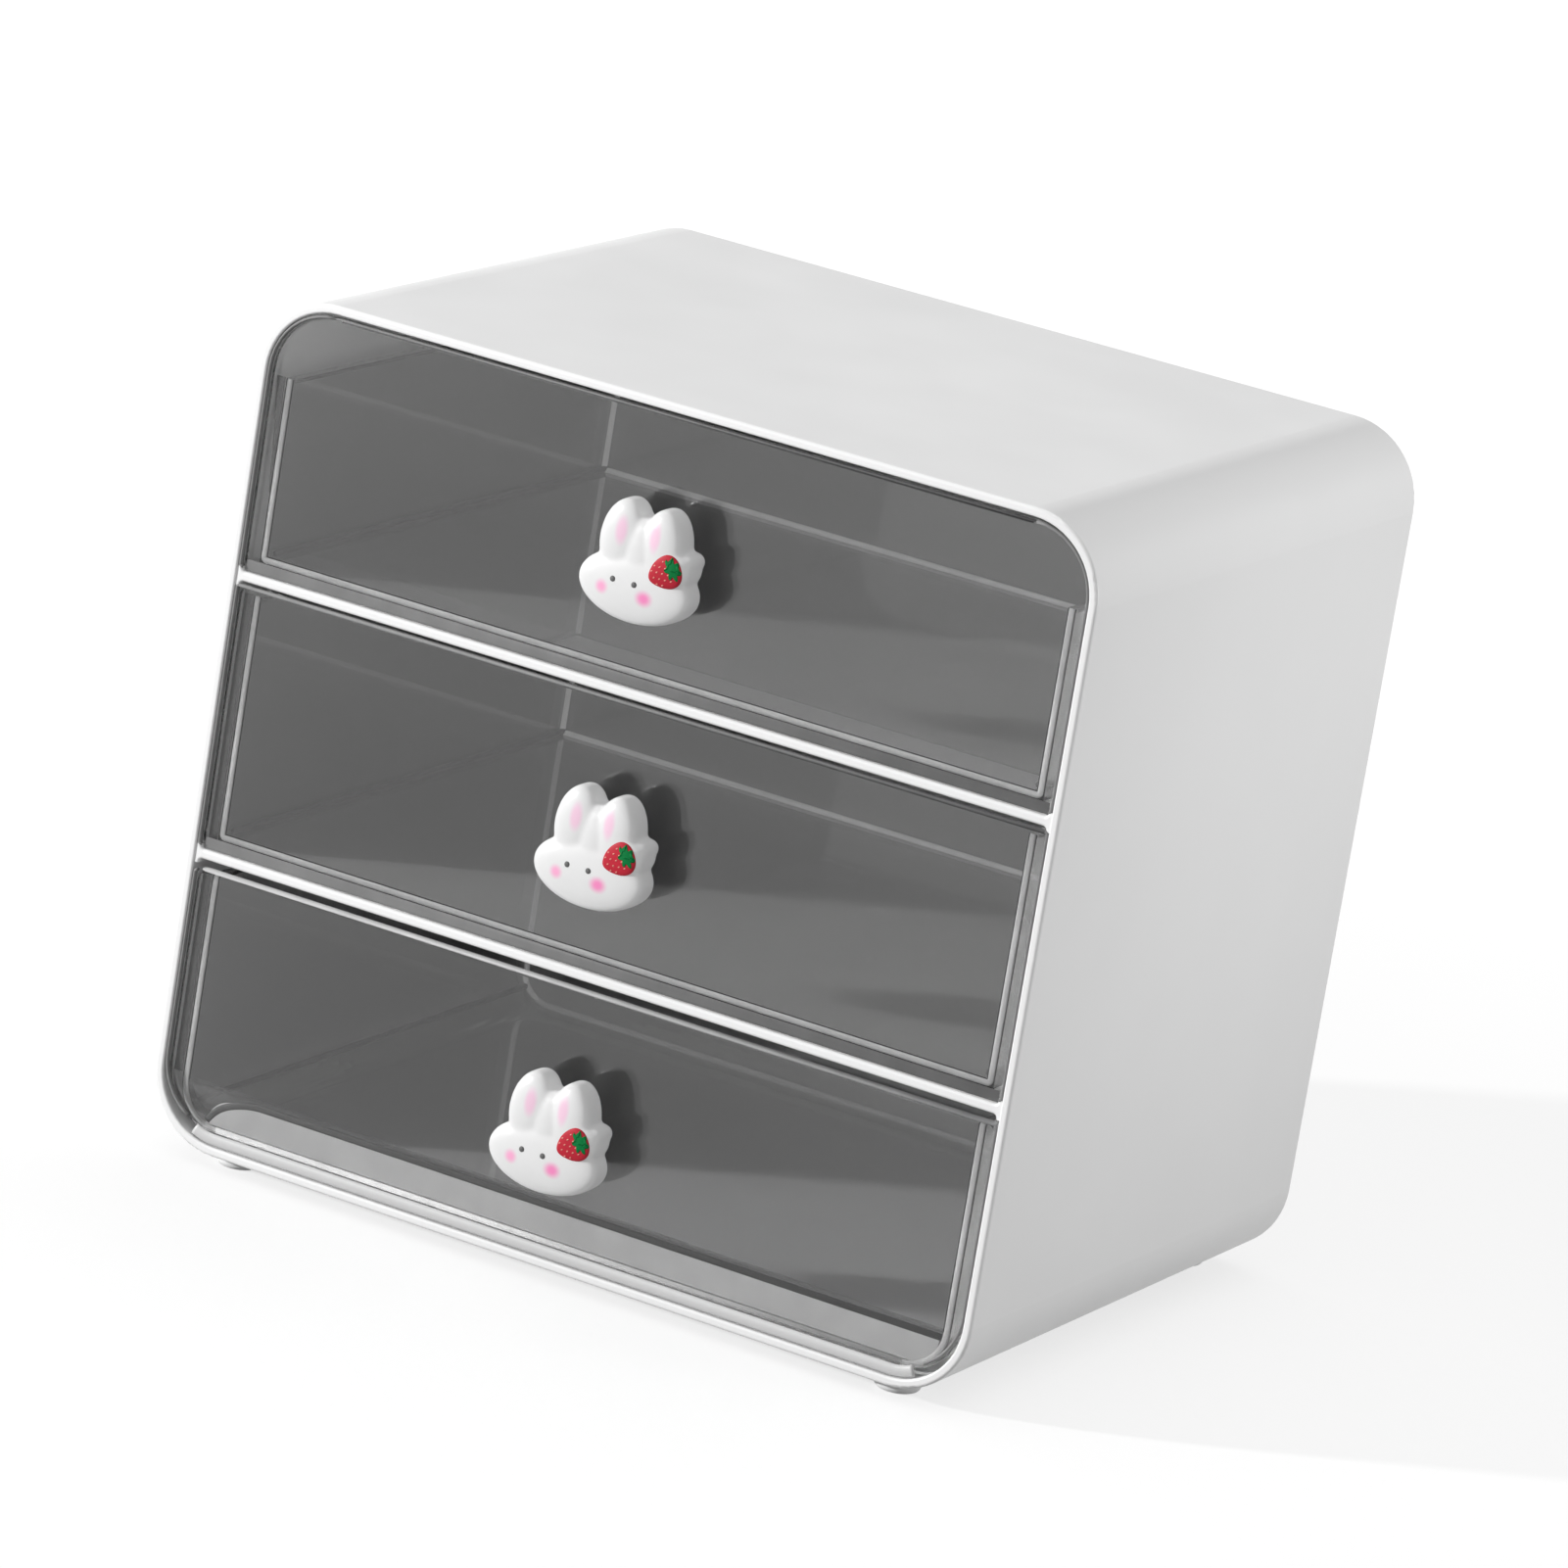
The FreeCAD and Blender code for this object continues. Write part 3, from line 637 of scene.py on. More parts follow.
def toward(turn: float, lift: float) -> Vector:
    """Returns the direction from the object to something round it.

    Args:
        turn: degrees to the right of the front.
        lift: degrees above the floor.
    """
    turn, lift = math.radians(turn), math.radians(lift)
    level = math.cos(lift)
    return Vector((math.sin(turn) * level, -math.cos(turn) * level, math.sin(lift)))


# ---- studio


@dataclass(frozen=True)
class Lamp:
    """A soft square lamp that faces the object, in degrees, metres and watts.

    It hangs at its reach from a point that is its height above the middle of the floor.
    """

    name: str
    turn: float
    lift: float
    reach: float
    size: float
    power: float
    spread: float = 180.0
    height: float = 0.11

    def hang(self) -> None:
        """Hangs the lamp."""
        data = bpy.data.lights.new(self.name, "AREA")
        data.spread = math.radians(self.spread)
        data.size = self.size
        data.energy = self.power
        lamp = bpy.data.objects.new(self.name, data)
        away = toward(self.turn, self.lift)
        lamp.location = Vector((0.0, 0.0, self.height)) + away * self.reach
        lamp.rotation_euler = away.to_track_quat("Z", "Y").to_euler()
        bpy.context.scene.collection.objects.link(lamp)


@dataclass
class Studio:
    """The floor, the lamps, the world and the camera, in metres and degrees."""

    azimuth: float = 27.07
    elevation: float = 15.375
    roll: float = 9.4014
    distance: float = 2.32543
    lens: float = 213.28
    sensor: float = 36.0
    clip: float = 50.0
    aim: Place = (0.01999, -0.03344, 0.12863)
    floor_radius: float = 8.0
    floor_sides: int = 96
    floor_roughness: float = 0.9
    floor_colour: Colour = (0.3, 0.3, 0.3)
    fibre_colour: Colour = (0.25, 0.25, 0.25)
    fibre_scale: float = 600.0
    fibre_share: float = 0.04
    floor_reach: Pair = (0.3, 1.5)
    floor_lift: Pair = (0.72, 0.95)
    ambient_height: Pair = (0.3, 0.9)
    ambient: Pair = (0.26, 0.90)
    horizon_height: Pair = (0.28, 0.40)
    horizon: Pair = (1.0, 0.25)
    lamps: tuple[Lamp, ...] = (
        Lamp("key", turn=-48.0, lift=14.3, reach=3.0, size=0.12, power=87.0),
        Lamp("side", 106.0, 4.0, reach=0.8, size=0.25, power=0.24, spread=60.0, height=0.18),
    )

    def build(self) -> None:
        """Sets up everything around the object."""
        self.camera()
        self.world()
        self.floor()
        for lamp in self.lamps:
            lamp.hang()
        bpy.context.scene.view_settings.view_transform = "Standard"

    def camera(self) -> None:
        """Creates the camera and makes it the scene's."""
        turn = math.radians(self.azimuth)
        back = toward(self.azimuth, self.elevation)
        right = Vector((math.cos(turn), math.sin(turn), 0.0))
        axes = Matrix((right, back.cross(right), back)).transposed().to_4x4()
        data = bpy.data.cameras.new("camera")
        data.lens = self.lens
        data.sensor_width = self.sensor
        data.clip_end = self.clip
        camera = bpy.data.objects.new("camera", data)
        place = Matrix.Translation(Vector(self.aim) + back * self.distance)
        camera.matrix_world = place @ axes @ spin(self.roll, "Z")
        bpy.context.scene.collection.objects.link(camera)
        bpy.context.scene.camera = camera

    def world(self) -> None:
        """Lights the object evenly, shows white past it and a darker sky in what it mirrors."""
        world = bpy.data.worlds.new("studio")
        bpy.context.scene.world = world
        world.use_nodes = True
        world.node_tree.nodes.clear()
        tree = Tree(world.node_tree)
        around = tree.add("TexCoord").outputs["Generated"]
        height = tree.add("SeparateXYZ", {0: around}).outputs["Z"]
        sky = tree.remap(height, *self.ambient_height, *self.ambient)
        light = tree.add("Background", {"Color": WHITE, "Strength": sky}).outputs[0]
        dark = tree.maths("SUBTRACT", 1.0, tree.remap(height, *self.horizon_height, *self.horizon))
        glossy = tree.add("LightPath").outputs["Is Glossy Ray"]
        white = tree.maths("SUBTRACT", 1.0, tree.maths("MULTIPLY", glossy, dark))
        shown = tree.add("Background", {"Color": WHITE, "Strength": white}).outputs[0]
        mixed = tree.add("MixShader", {0: looking(tree), 1: light, 2: shown}).outputs[0]
        tree.add("OutputWorld", {"Surface": mixed})

    def floor(self) -> None:
        """Lays the floor, which keeps the object's shadow."""
        mesh = bmesh.new()
        size = {"radius": self.floor_radius, "segments": self.floor_sides}
        bmesh.ops.create_circle(mesh, cap_ends=True, **size)
        floor = finish_piece("floor", mesh, smooth=False)
        material = bpy.data.materials.new("floor_paper")
        tree, shader, place = start_material(material)
        fibre = tree.noise(place, self.fibre_scale, detail=2.0)
        share = tree.remap(fibre, *MOST_NOISE, 0.0, self.fibre_share)
        away = tree.add("VectorMath", {0: place}, operation="LENGTH").outputs["Value"]
        lift = tree.remap(away, *self.floor_reach, *self.floor_lift)
        values = {
            "Base Color": tree.blend(share, self.floor_colour, self.fibre_colour),
            "Roughness": self.floor_roughness,
            "Specular IOR Level": 0.0,
            "Emission Color": WHITE,
            "Emission Strength": tree.maths("MULTIPLY", looking(tree), lift),
        }
        tree.fill(shader, values)
        dress(floor, material)


def looking(tree: Tree) -> NodeSocket:
    """Returns 1 for rays from the camera or through and off glossy pieces, and 0 for other light.

    Args:
        tree: the tree to add to.
    """
    path = tree.add("LightPath").outputs
    seen = tree.maths("MAXIMUM", path["Is Camera Ray"], path["Is Glossy Ray"])
    return tree.maths("MAXIMUM", seen, path["Is Transmission Ray"])


# ---- drawer


@dataclass
class Rod:
    """A thin rod drawn along runs and round corners, in millimetres.

    Its strokes stay in one plane that faces the front.
    """

    name: str
    start: Place
    width: float
    depth: float
    heading: Vector
    mesh: BMesh = field(default_factory=bmesh.new)

    def __post_init__(self) -> None:
        """Lays the flat end of the first stroke."""
        self.restart(self.start, self.width, self.heading)

    def restart(self, start: Place, width: float, heading: Vector) -> None:
        """Lays the flat end of another stroke.

        Args:
            start: the middle of the end.
            width: how wide the stroke is, seen from the front.
            heading: which way it is drawn.
        """
        made = bmesh.ops.create_circle(self.mesh, cap_ends=True, radius=0.5, segments=ROUND_SIDES)
        turn = Matrix((heading.cross(INWARD), INWARD, heading)).transposed().to_4x4()
        size = (width * MM, self.depth * MM, 1.0)
        put(self.mesh, made["verts"], Vector(start) * MM, turn, size)
        self.end = list(made["verts"][0].link_faces)
        self.begun = False

    def extend(self) -> list[BMVert]:
        """Adds a next section, still at the end of the last one, and returns its corners."""
        made = bmesh.ops.extrude_face_region(self.mesh, geom=self.end)["geom"]
        if self.begun:
            bmesh.ops.delete(self.mesh, geom=self.end, context="FACES_ONLY")
        self.begun = True
        self.end = of_kind(made, BMFace)
        return of_kind(made, BMVert)

    def run(self, across: float, up: float) -> None:
        """Draws the rod straight on, so far to the right and so far upwards."""
        step = Vector((across, 0, up)) * MM
        bmesh.ops.translate(self.mesh, verts=self.extend(), vec=step)

    def turn(self, across: float, up: float, degrees: float) -> None:
        """Draws the rod round a corner.

        Args:
            across: how far to the right of the object's middle the corner's centre is.
            up: how high the centre is.
            degrees: how far it turns, anticlockwise as the front is seen.
        """
        centre = Vector((across, self.start[1], up)) * MM
        step = Matrix.Rotation(math.radians(degrees / CORNER_STEPS), 3, OUTWARD)
        for _ in range(CORNER_STEPS):
            bmesh.ops.rotate(self.mesh, verts=self.extend(), cent=centre, matrix=step)

    def piece(self) -> Object:
        """Returns the rod as an object."""
        return finish_piece(self.name, self.mesh)


@dataclass
class Drawer:
    """One smoky drawer's sheets and the thin lines on them, in millimetres; most lines are painted
    highlight and painted shade.

    Names that end with _size hold a line's width and depth.
    """

    layer: Layer
    wall: float = 2.2
    runner: float = 2.6
    runner_cut: float = 0.02
    corner: float = 1.0
    bowl: float = 12.0
    bead_size: Pair = (1.7, 0.5)
    bright_size: Pair = (1.7, 0.65)
    seam: float = 1.6
    seam_drop: float = 1.0
    # sizes of the painted shade round the panel's edge
    rim_shade: float = 0.9
    rim_shade_top_share: float = 0.5
    rim_shade_out: float = 0.25
    rim_shade_depth: float = 1.5
    rim_shade_corner: float = 0.6
    rim_shade_end: float = 60.0
    panel_corner: float = 16.9
    # size and drop of the painted shade band at the panel's foot
    sill_size: Pair = (3.1, 0.3)
    sill_drop: float = 0.6
    shade_size: Pair = (2.6, 0.4)
    shade_length: float = 30.0
    shade_gap: float = 0.5
    shade_taper: float = 0.15
    edge_inset: Pair = (18.0, 1.2)
    edge_size: Pair = (0.7, 0.3)
    edge_in: float = 0.1
    edge_drop: float = 0.4
    rounded_edge_size: Pair = (1.2, 2.4)
    rounded_edge_rise: float = 0.35
    foot_radius: float = 0.8
    rim_radius: float = 0.6
    rim_drop: float = 0.8
    wall_ends: float = 4.0
    bowl_share: float = 0.3
    skirt_flat: float = 99.4
    skirt_size: Pair = (3.2, 1.3)
    skirt_lift: float = 0.28
    skirt_ahead: float = 0.75
    skirt_centre: float = 18.2
    skirt_sweep: float = 24.0
    lip_height: float = 11.4
    lip_size: Pair = (1.9, 0.4)
    lip_gap: float = 0.1
    lip_dip: float = 88.0
    lip_bend: float = 26.0
    lip_bend_sweep: float = 24.0
    lip_end: float = 12.0
    lip_end_sweep: float = 38.0
    film_left: float = -104.3
    film_gap: float = 0.6
    film_depth: float = 0.1
    film_back: float = 0.06
    film_corner: float = 0.97

    def __post_init__(self) -> None:
        """Reads the drawer's place from the frame."""
        self.tray_low, self.tray_high = (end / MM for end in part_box(self.layer.node("tray")))
        self.front_low, self.front_high = (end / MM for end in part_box(self.layer.node("front")))
        self.floor = self.tray_low.z + self.runner
        self.top = self.layer is Layer.TOP
        self.rounded = self.layer is Layer.BOTTOM

    def straight(self, name: str, half: float, place: float, up: float, size: Pair) -> Object:
        """Returns a straight line across the drawer.

        Args:
            name: the piece's name.
            half: half its length.
            place: where it lies from front to back.
            up: its height.
            size: its width and depth.
        """
        rod = Rod(name, (-half, place, up), *size, RIGHT)
        rod.run(2 * half, 0)
        return rod.piece()

    def basin(self, kind: str, low: Place, high: float, turn: float, size: Pair) -> Object:
        """Returns a line down the left wall, along the floor and up the right wall.

        Args:
            kind: the first word of its name.
            low: where its two straight parts would meet at the left.
            high: the height of its ends.
            turn: the radius of its corners.
            size: its width and depth.
        """
        left, place, floor = low
        rod = Rod(self.layer.node(kind), (left, place, high), *size, DOWN)
        rod.run(0, floor + turn - high)
        rod.turn(left + turn, floor + turn, 90)
        rod.run(-2 * (left + turn), 0)
        rod.turn(-left - turn, floor + turn, 90)
        rod.run(0, high - floor - turn)
        return rod.piece()

    def border_line(self) -> Object:
        """Returns the dark line round the panel's edge, inside the case's rim: painted shade for
        the gap between the panel and the rim.
        """
        half = self.front_high.x + self.rim_shade_out
        low, high = self.front_low.z + self.rim_shade / 2, self.front_high.z + self.rim_shade_out
        upper = self.panel_corner if self.top else self.rim_shade_corner
        lower = self.panel_corner if self.rounded else self.rim_shade_corner
        start = (upper - half, self.front_low.y - self.rim_shade_depth / 2, high)
        rod = Rod(self.layer.node("border"), start, self.rim_shade, self.rim_shade_depth, LEFT)
        rod.turn(upper - half, high - upper, 90)
        rod.run(0, low + lower - high + upper)
        rod.turn(lower - half, low + lower, self.rim_shade_end if self.rounded else 90)
        mirror_halves(rod.mesh)
        if not self.rounded:
            share = self.rim_shade_top_share if self.top else 1.0
            rod.restart(start, self.rim_shade * share, RIGHT)
            rod.run(2 * (half - upper), 0)
        return rod.piece()

    def side_shade(self) -> Object:
        """Returns the dark strip beside the tray's left wall, behind the panel: painted shade for
        the gap between the tray and the case's wall.
        """
        across = -(self.tray_high.x + self.front_high.x) / 2
        high = self.tray_high.z
        start = (across, self.front_high.y + self.shade_size[1], high)
        rod = Rod(self.layer.node("shade"), start, *self.shade_size, DOWN)
        foot = self.bowl + self.shade_gap if self.rounded else self.corner
        length = self.shade_length if self.top else high - self.front_low.z - foot
        rod.run(0, -length)
        if self.top:
            ends = [vert for vert in rod.mesh.verts if vert.co.z < (high - length / 2) * MM]
            wall = Matrix.Translation((-self.tray_low.x * MM, 0.0, 0.0))
            taper = (self.shade_taper, 1.0, 1.0)
            bmesh.ops.scale(rod.mesh, vec=taper, space=wall, verts=ends)
        return rod.piece()

    def sill_line(self) -> Object:
        """Returns the grey band along the panel's foot, where the sheet meets its shelf: painted
        shade for the gap under the tray, lifted by a glow of painted light.
        """
        width, depth = self.sill_size
        place, up = self.front_low.y - depth / 2, self.front_low.z - self.sill_drop + width / 2
        half = self.front_high.x - self.rim_shade
        return self.straight(self.layer.node("sill"), half, place, up, self.sill_size)

    def bright_bead(self) -> Object:
        """Returns the bright line that the bottom tray's floor shows along the panel, a painted
        highlight of the floor's edge.
        """
        half, up = self.tray_high.x - self.bowl, self.floor + self.wall / 2
        return self.straight("bright_bead", half, self.front_high.y, up, self.bright_size)

    def bead(self) -> Object:
        """Returns the bead where the tray's walls and floor meet the front, drawn light as a
        painted highlight of their cut ends.
        """
        low = (self.wall / 2 - self.tray_high.x, self.front_high.y, self.floor + self.wall / 2)
        turn = self.bowl - self.wall / 2 if self.rounded else self.corner
        return self.basin("bead", low, self.tray_high.z, turn, self.bead_size)

    def back_seam(self) -> Object:
        """Returns the seam up the tray's back corners and along its floor, drawn light with a glow
        as a painted highlight.
        """
        inset = self.wall + self.seam / 4
        low = (inset - self.tray_high.x, self.tray_high.y - inset, self.floor + inset)
        turn = self.bowl - self.wall if self.rounded else self.corner
        return self.basin("seam", low, self.tray_high.z - self.seam_drop, turn, (self.seam,) * 2)

    def panel_edge(self) -> Object:
        """Returns the line of the panel's cut top edge.

        It is a bright bead of painted highlight on the bottom panel, and a faint line with a small
        glow of painted light elsewhere.
        """
        half = self.front_high.x - self.edge_inset[0 if self.top else 1]
        name, high = self.layer.node("edge"), self.front_high.z
        if self.rounded:
            middle, up = (self.front_low.y + self.front_high.y) / 2, high + self.rounded_edge_rise
            return self.straight(name, half, middle, up, self.rounded_edge_size)
        place = self.front_low.y + self.edge_in
        return self.straight(name, half, place, high - self.edge_drop, self.edge_size)

    def wall_shade_lines(self) -> Object:
        """Returns the dark lines along the feet of the tray's side walls and under their rims:
        painted shade in these creases.
        """
        mesh = bmesh.new()
        turn = self.bowl * self.bowl_share if self.rounded else 0.0
        inset = self.wall + self.foot_radius + turn * self.bowl_share
        foot = (self.tray_high.x - inset, self.floor + self.wall + self.foot_radius + turn)
        rim = (self.tray_high.x - self.wall / 2, self.tray_high.z - self.rim_drop)
        length = (self.tray_high.y - self.tray_low.y - self.wall_ends) * MM
        for (across, up), radius in ((foot, self.foot_radius * MM), (rim, self.rim_radius * MM)):
            size = {"radius1": radius, "radius2": radius, "depth": length}
            made = bmesh.ops.create_cone(mesh, cap_ends=True, segments=ROUND_SIDES, **size)
            middle = Vector((across, (self.tray_low.y + self.tray_high.y) / 2, up)) * MM
            put(mesh, made["verts"], middle, spin(90, "X"), (1.0, 1.0, 1.0))
        mirror_halves(mesh)
        return finish_piece(self.layer.node("wall_line"), mesh)

    def shell(self) -> Object:
        """Returns the tray without its runners, which do not show behind the panel."""
        mesh = bmesh.new()
        mesh.from_mesh(bpy.data.objects[self.layer.node("tray")].data)
        bmesh.ops.remove_doubles(mesh, verts=mesh.verts, dist=WELD)
        cut = bmesh.ops.bisect_plane(
            mesh,
            geom=[*mesh.verts, *mesh.edges, *mesh.faces],
            plane_co=(0.0, 0.0, (self.floor + self.runner_cut) * MM),
            plane_no=(0.0, 0.0, 1.0),
            clear_inner=True,
        )
        edges = of_kind(cut["geom_cut"], BMEdge)
        bmesh.ops.holes_fill(mesh, edges=edges, sides=0)
        return finish_piece(self.layer.node("tray_shell"), mesh, smooth=False)

    def skirt(self) -> Object:
        """Returns the white strip that closes the gap under the bottom panel: painted light that
        stands for the lit case floor there.
        """
        up = self.tray_low.z + self.skirt_lift + self.skirt_size[0] / 2
        start = (0.0, self.front_low.y - self.skirt_ahead, up)
        rod = Rod("skirt_bottom", start, *self.skirt_size, LEFT)
        rod.run(-self.skirt_flat, 0)
        rod.turn(-self.skirt_flat, self.tray_low.z + self.skirt_centre, -self.skirt_sweep)
        mirror_halves(rod.mesh)
        return rod.piece()

    def lip_painted_light(self) -> Object:
        """Returns the pale film of the bottom tray's front lip, against the panel's back: painted
        light for the lit floor seen through the lip.
        """
        low, high = self.floor + self.wall, self.floor + self.lip_height - self.lip_size[0]
        left, right = self.film_left, self.tray_high.x - self.wall - self.film_gap
        mesh = bmesh.new()
        bmesh.ops.create_grid(mesh, x_segments=1, y_segments=1, size=0.5)
        place = self.front_high.y - self.film_back
        middle = Vector(((left + right) / 2, place, (low + high) / 2)) * MM
        size = ((right - left) * MM, (high - low) * MM, 1.0)
        put(mesh, mesh.verts, middle, spin(90, "X"), size)
        rounding = {"affect": "VERTICES", "segments": 10, "profile": 0.5, "material": -1}
        reach = (high - low) * self.film_corner * MM
        for side in (-1, 1):
            far = [vert for vert in mesh.verts if vert.co.x * side > 0]
            corner = [vert for vert in far if (vert.co.z - middle.z) * side < 0]
            bmesh.ops.bevel(mesh, geom=corner, offset=reach, **rounding)
        made = bmesh.ops.extrude_face_region(mesh, geom=list(mesh.faces))["geom"]
        verts = of_kind(made, BMVert)
        bmesh.ops.translate(mesh, verts=verts, vec=(0.0, self.film_depth * MM, 0.0))
        return finish_piece("lip_painted_light", mesh, smooth=False)

    def lip_line(self) -> Object:
        """Returns the dark line along the top of the front lip, which dips at its left end: painted
        shade of the lip's edge.
        """
        half = self.tray_high.x - self.wall - self.lip_gap
        top = self.floor + self.lip_height - self.lip_size[0] / 2
        rod = Rod("lip_line", (half, self.front_high.y, top), *self.lip_size, LEFT)
        rod.run(-half - self.lip_dip, 0)
        rod.turn(-self.lip_dip, top - self.lip_bend, self.lip_bend_sweep)
        slope = math.radians(self.lip_bend_sweep)
        across = -self.lip_dip - (self.lip_bend - self.lip_end) * math.sin(slope)
        up = top - self.lip_bend + (self.lip_bend - self.lip_end) * math.cos(slope)
        rod.turn(across, up, self.lip_end_sweep)
        return rod.piece()


# ---- knob


@dataclass(frozen=True)
class Pillow:
    """One rounded lobe of the knob head, in millimetres from the head's middle."""

    across: float
    up: float
    half_width: float
    half_height: float
    thin: float
    lean: float = 0.0


@dataclass
class Knob:
    """The knob: a soft rabbit head with a bow that carries a small strawberry, in millimetres."""

    layer: Layer
    lobes: tuple[Pillow, ...] = (
        Pillow(0.0, -6.2, 15.9, 9.0, 0.0),
        Pillow(-5.7, 5.4, 5.9, 9.8, 0.5, lean=5.0),
        Pillow(6.0, 5.4, 5.7, 9.6, 0.3, lean=-3.0),
        Pillow(0.2, 3.0, 5.2, 8.6, 0.6),
        Pillow(9.0, 0.7, 6.0, 5.2, 0.1),
        Pillow(12.3, 3.0, 2.8, 2.4, 2.0),
    )
    front_curve: float = 0.38
    back_curve: float = 0.3
    voxel: float = 0.4
    soften: int = 10
    divisions: int = 5
    paint_room: float = 0.35
    ray_lead: float = 50.0
    miss_depth: float = 1.0
    eyes: tuple[Pair, ...] = ((-4.8, -4.7), (1.35, -4.7))
    eye_half: Place = (0.75, 0.75, 0.3)
    berry_place: Pair = (8.7, 0.1)
    berry_half: Pair = (4.9, 4.2)
    berry_lean: float = 55.0
    berry_shape: Place = (1.0, 0.34, -0.10)
    berry_curve: float = 0.75
    seed_room: float = 0.2
    leaf_points: int = 7
    leaf_steps: int = 6
    leaf_cuts: int = 2
    leaf_share: Pair = (0.52, 0.48)
    leaf_taper: float = 1.6
    leaf_inset: float = 0.16
    leaf_size: Pair = (3.0, 2.2)
    leaf_along: float = 0.62
    leaf_lift: Pair = (0.048, 0.136)
    leaf_front: float = 0.15
    leaf_thick: float = 0.3
    seed_half: Place = (0.2, 0.34, 0.14)
    seed_pitch: Pair = (1.35, 1.75)
    seed_rows: range = range(-3, 3)
    seed_steps: range = range(-2, 3)
    seed_field: Pair = (4.6, 3.7)
    seed_share: float = 0.8
    seed_top: float = 2.2

    def __post_init__(self) -> None:
        """Reads the knob's place from the frame."""
        low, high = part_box(self.layer.node("knob"))
        self.middle = (low + high) / 2
        self.front = low.y
        self.half_depth = (high.y - low.y) / 2

    def head(self) -> Object:
        """Returns the head, modelled as one soft form."""
        mesh = bmesh.new()
        for lobe in self.lobes:
            self.add_lobe(mesh, lobe)
        rough = finish_piece(self.layer.node("rabbit"), mesh)
        remesh = rough.modifiers.new("join", "REMESH")
        remesh.mode = "VOXEL"
        remesh.voxel_size = self.voxel * MM
        joined = bmesh.new()
        joined.from_object(rough, bpy.context.evaluated_depsgraph_get())
        bpy.data.objects.remove(rough)
        axes = {"use_axis_x": True, "use_axis_y": True, "use_axis_z": True}
        for _ in range(self.soften):
            bmesh.ops.smooth_vert(joined, verts=joined.verts, factor=0.5, **axes)
        self.fit_depth(joined)
        return finish_piece(self.layer.node("rabbit"), joined)

    def add_lobe(self, mesh: BMesh, lobe: Pillow) -> None:
        """Adds one lobe.

        Args:
            mesh: the head so far.
            lobe: the lobe's size and place.
        """
        made = bmesh.ops.create_icosphere(mesh, subdivisions=self.divisions, radius=1.0)
        for vert in made["verts"]:
            curve = self.front_curve if vert.co.y < 0 else self.back_curve
            vert.co.y = math.copysign(abs(vert.co.y) ** curve, vert.co.y)
        depth = self.half_depth - lobe.thin * MM / 2
        size = (lobe.half_width * MM, depth, lobe.half_height * MM)
        place = self.middle + Vector((lobe.across, lobe.thin / 2, lobe.up)) * MM
        put(mesh, made["verts"], place, spin(lobe.lean, "Y"), size)

    def fit_depth(self, mesh: BMesh) -> None:
        """Brings the softened head back to the knob's thickness, less room for the eyes.

        Args:
            mesh: the head.
        """
        places = [vert.co.y for vert in mesh.verts]
        low, room = min(places), self.paint_room * MM
        scale = (2 * self.half_depth - room) / (max(places) - low)
        for vert in mesh.verts:
            vert.co.y = self.front + room + (vert.co.y - low) * scale

    def on_face(self, surface: BVHTree, across: float, up: float) -> tuple[Vector, Vector]:
        """Finds what is straight behind a place, or the nearest of the surface if nothing is.

        Args:
            surface: the surface to look for.
            across: millimetres to the right of the knob's middle.
            up: millimetres above it.

        Returns:
            The point and its normal.
        """
        start = self.middle + Vector((across, -self.ray_lead, up)) * MM
        found = surface.ray_cast(start, INWARD)
        if found[0] is None:
            place = self.front + self.miss_depth * MM
            found = surface.find_nearest(Vector((start.x, place, start.z)))
        return found[0], found[1]

    def add_dot(
        self, mesh: BMesh, place: tuple[Vector, Vector], half: Place, fine: int, turn: float = 0.0
    ) -> None:
        """Adds one small dome that sits on a surface.

        Args:
            mesh: the mesh to add to.
            place: the point where it sits and the normal there.
            half: half its width, length and height.
            fine: how finely it is divided.
            turn: degrees that it turns about its normal.
        """
        point, normal = place
        made = bmesh.ops.create_icosphere(mesh, subdivisions=fine, radius=1.0)
        face = normal.to_track_quat("Z", "Y").to_matrix().to_4x4()
        put(mesh, made["verts"], point, face @ spin(turn, "Z"), scaled(half, MM))

    def eye_dots(self, surface: BVHTree) -> Object:
        """Returns both eyes, as low domes of paint.

        Args:
            surface: the head's surface.
        """
        mesh = bmesh.new()
        for eye in self.eyes:
            self.add_dot(mesh, self.on_face(surface, *eye), self.eye_half, fine=3)
        return finish_piece(self.layer.node("eyes"), mesh)

    def berry(self) -> Object:
        """Returns the strawberry: a dome that is broad at its leaves and narrow at its tip."""
        mesh = bmesh.new()
        bmesh.ops.create_icosphere(mesh, subdivisions=self.divisions, radius=1.0)
        level, slope, bend = self.berry_shape
        for vert in mesh.verts:
            vert.co.x *= level + slope * vert.co.z + bend * vert.co.z**2
            vert.co.y = math.copysign(abs(vert.co.y) ** self.berry_curve, vert.co.y)
        low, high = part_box(self.layer.node("berry"))
        length, width = scaled(self.berry_half, MM)
        depth = high.y - low.y - self.seed_room * MM
        across, up = self.berry_place
        middle = Vector((self.middle.x + across * MM, high.y, self.middle.z + up * MM))
        put(mesh, mesh.verts, middle, spin(self.berry_lean, "Y"), (width, depth, length))
        return finish_piece(self.layer.node("strawberry"), mesh)

    def on_berry(self, side: float, along: float) -> Pair:
        """Returns how far across and up from the knob's middle a place on the berry is.

        Args:
            side: millimetres to the right on an upright berry.
            along: millimetres toward its leaves.
        """
        lean = math.radians(self.berry_lean)
        across = self.berry_place[0] + side * math.cos(lean) + along * math.sin(lean)
        return across, self.berry_place[1] - side * math.sin(lean) + along * math.cos(lean)

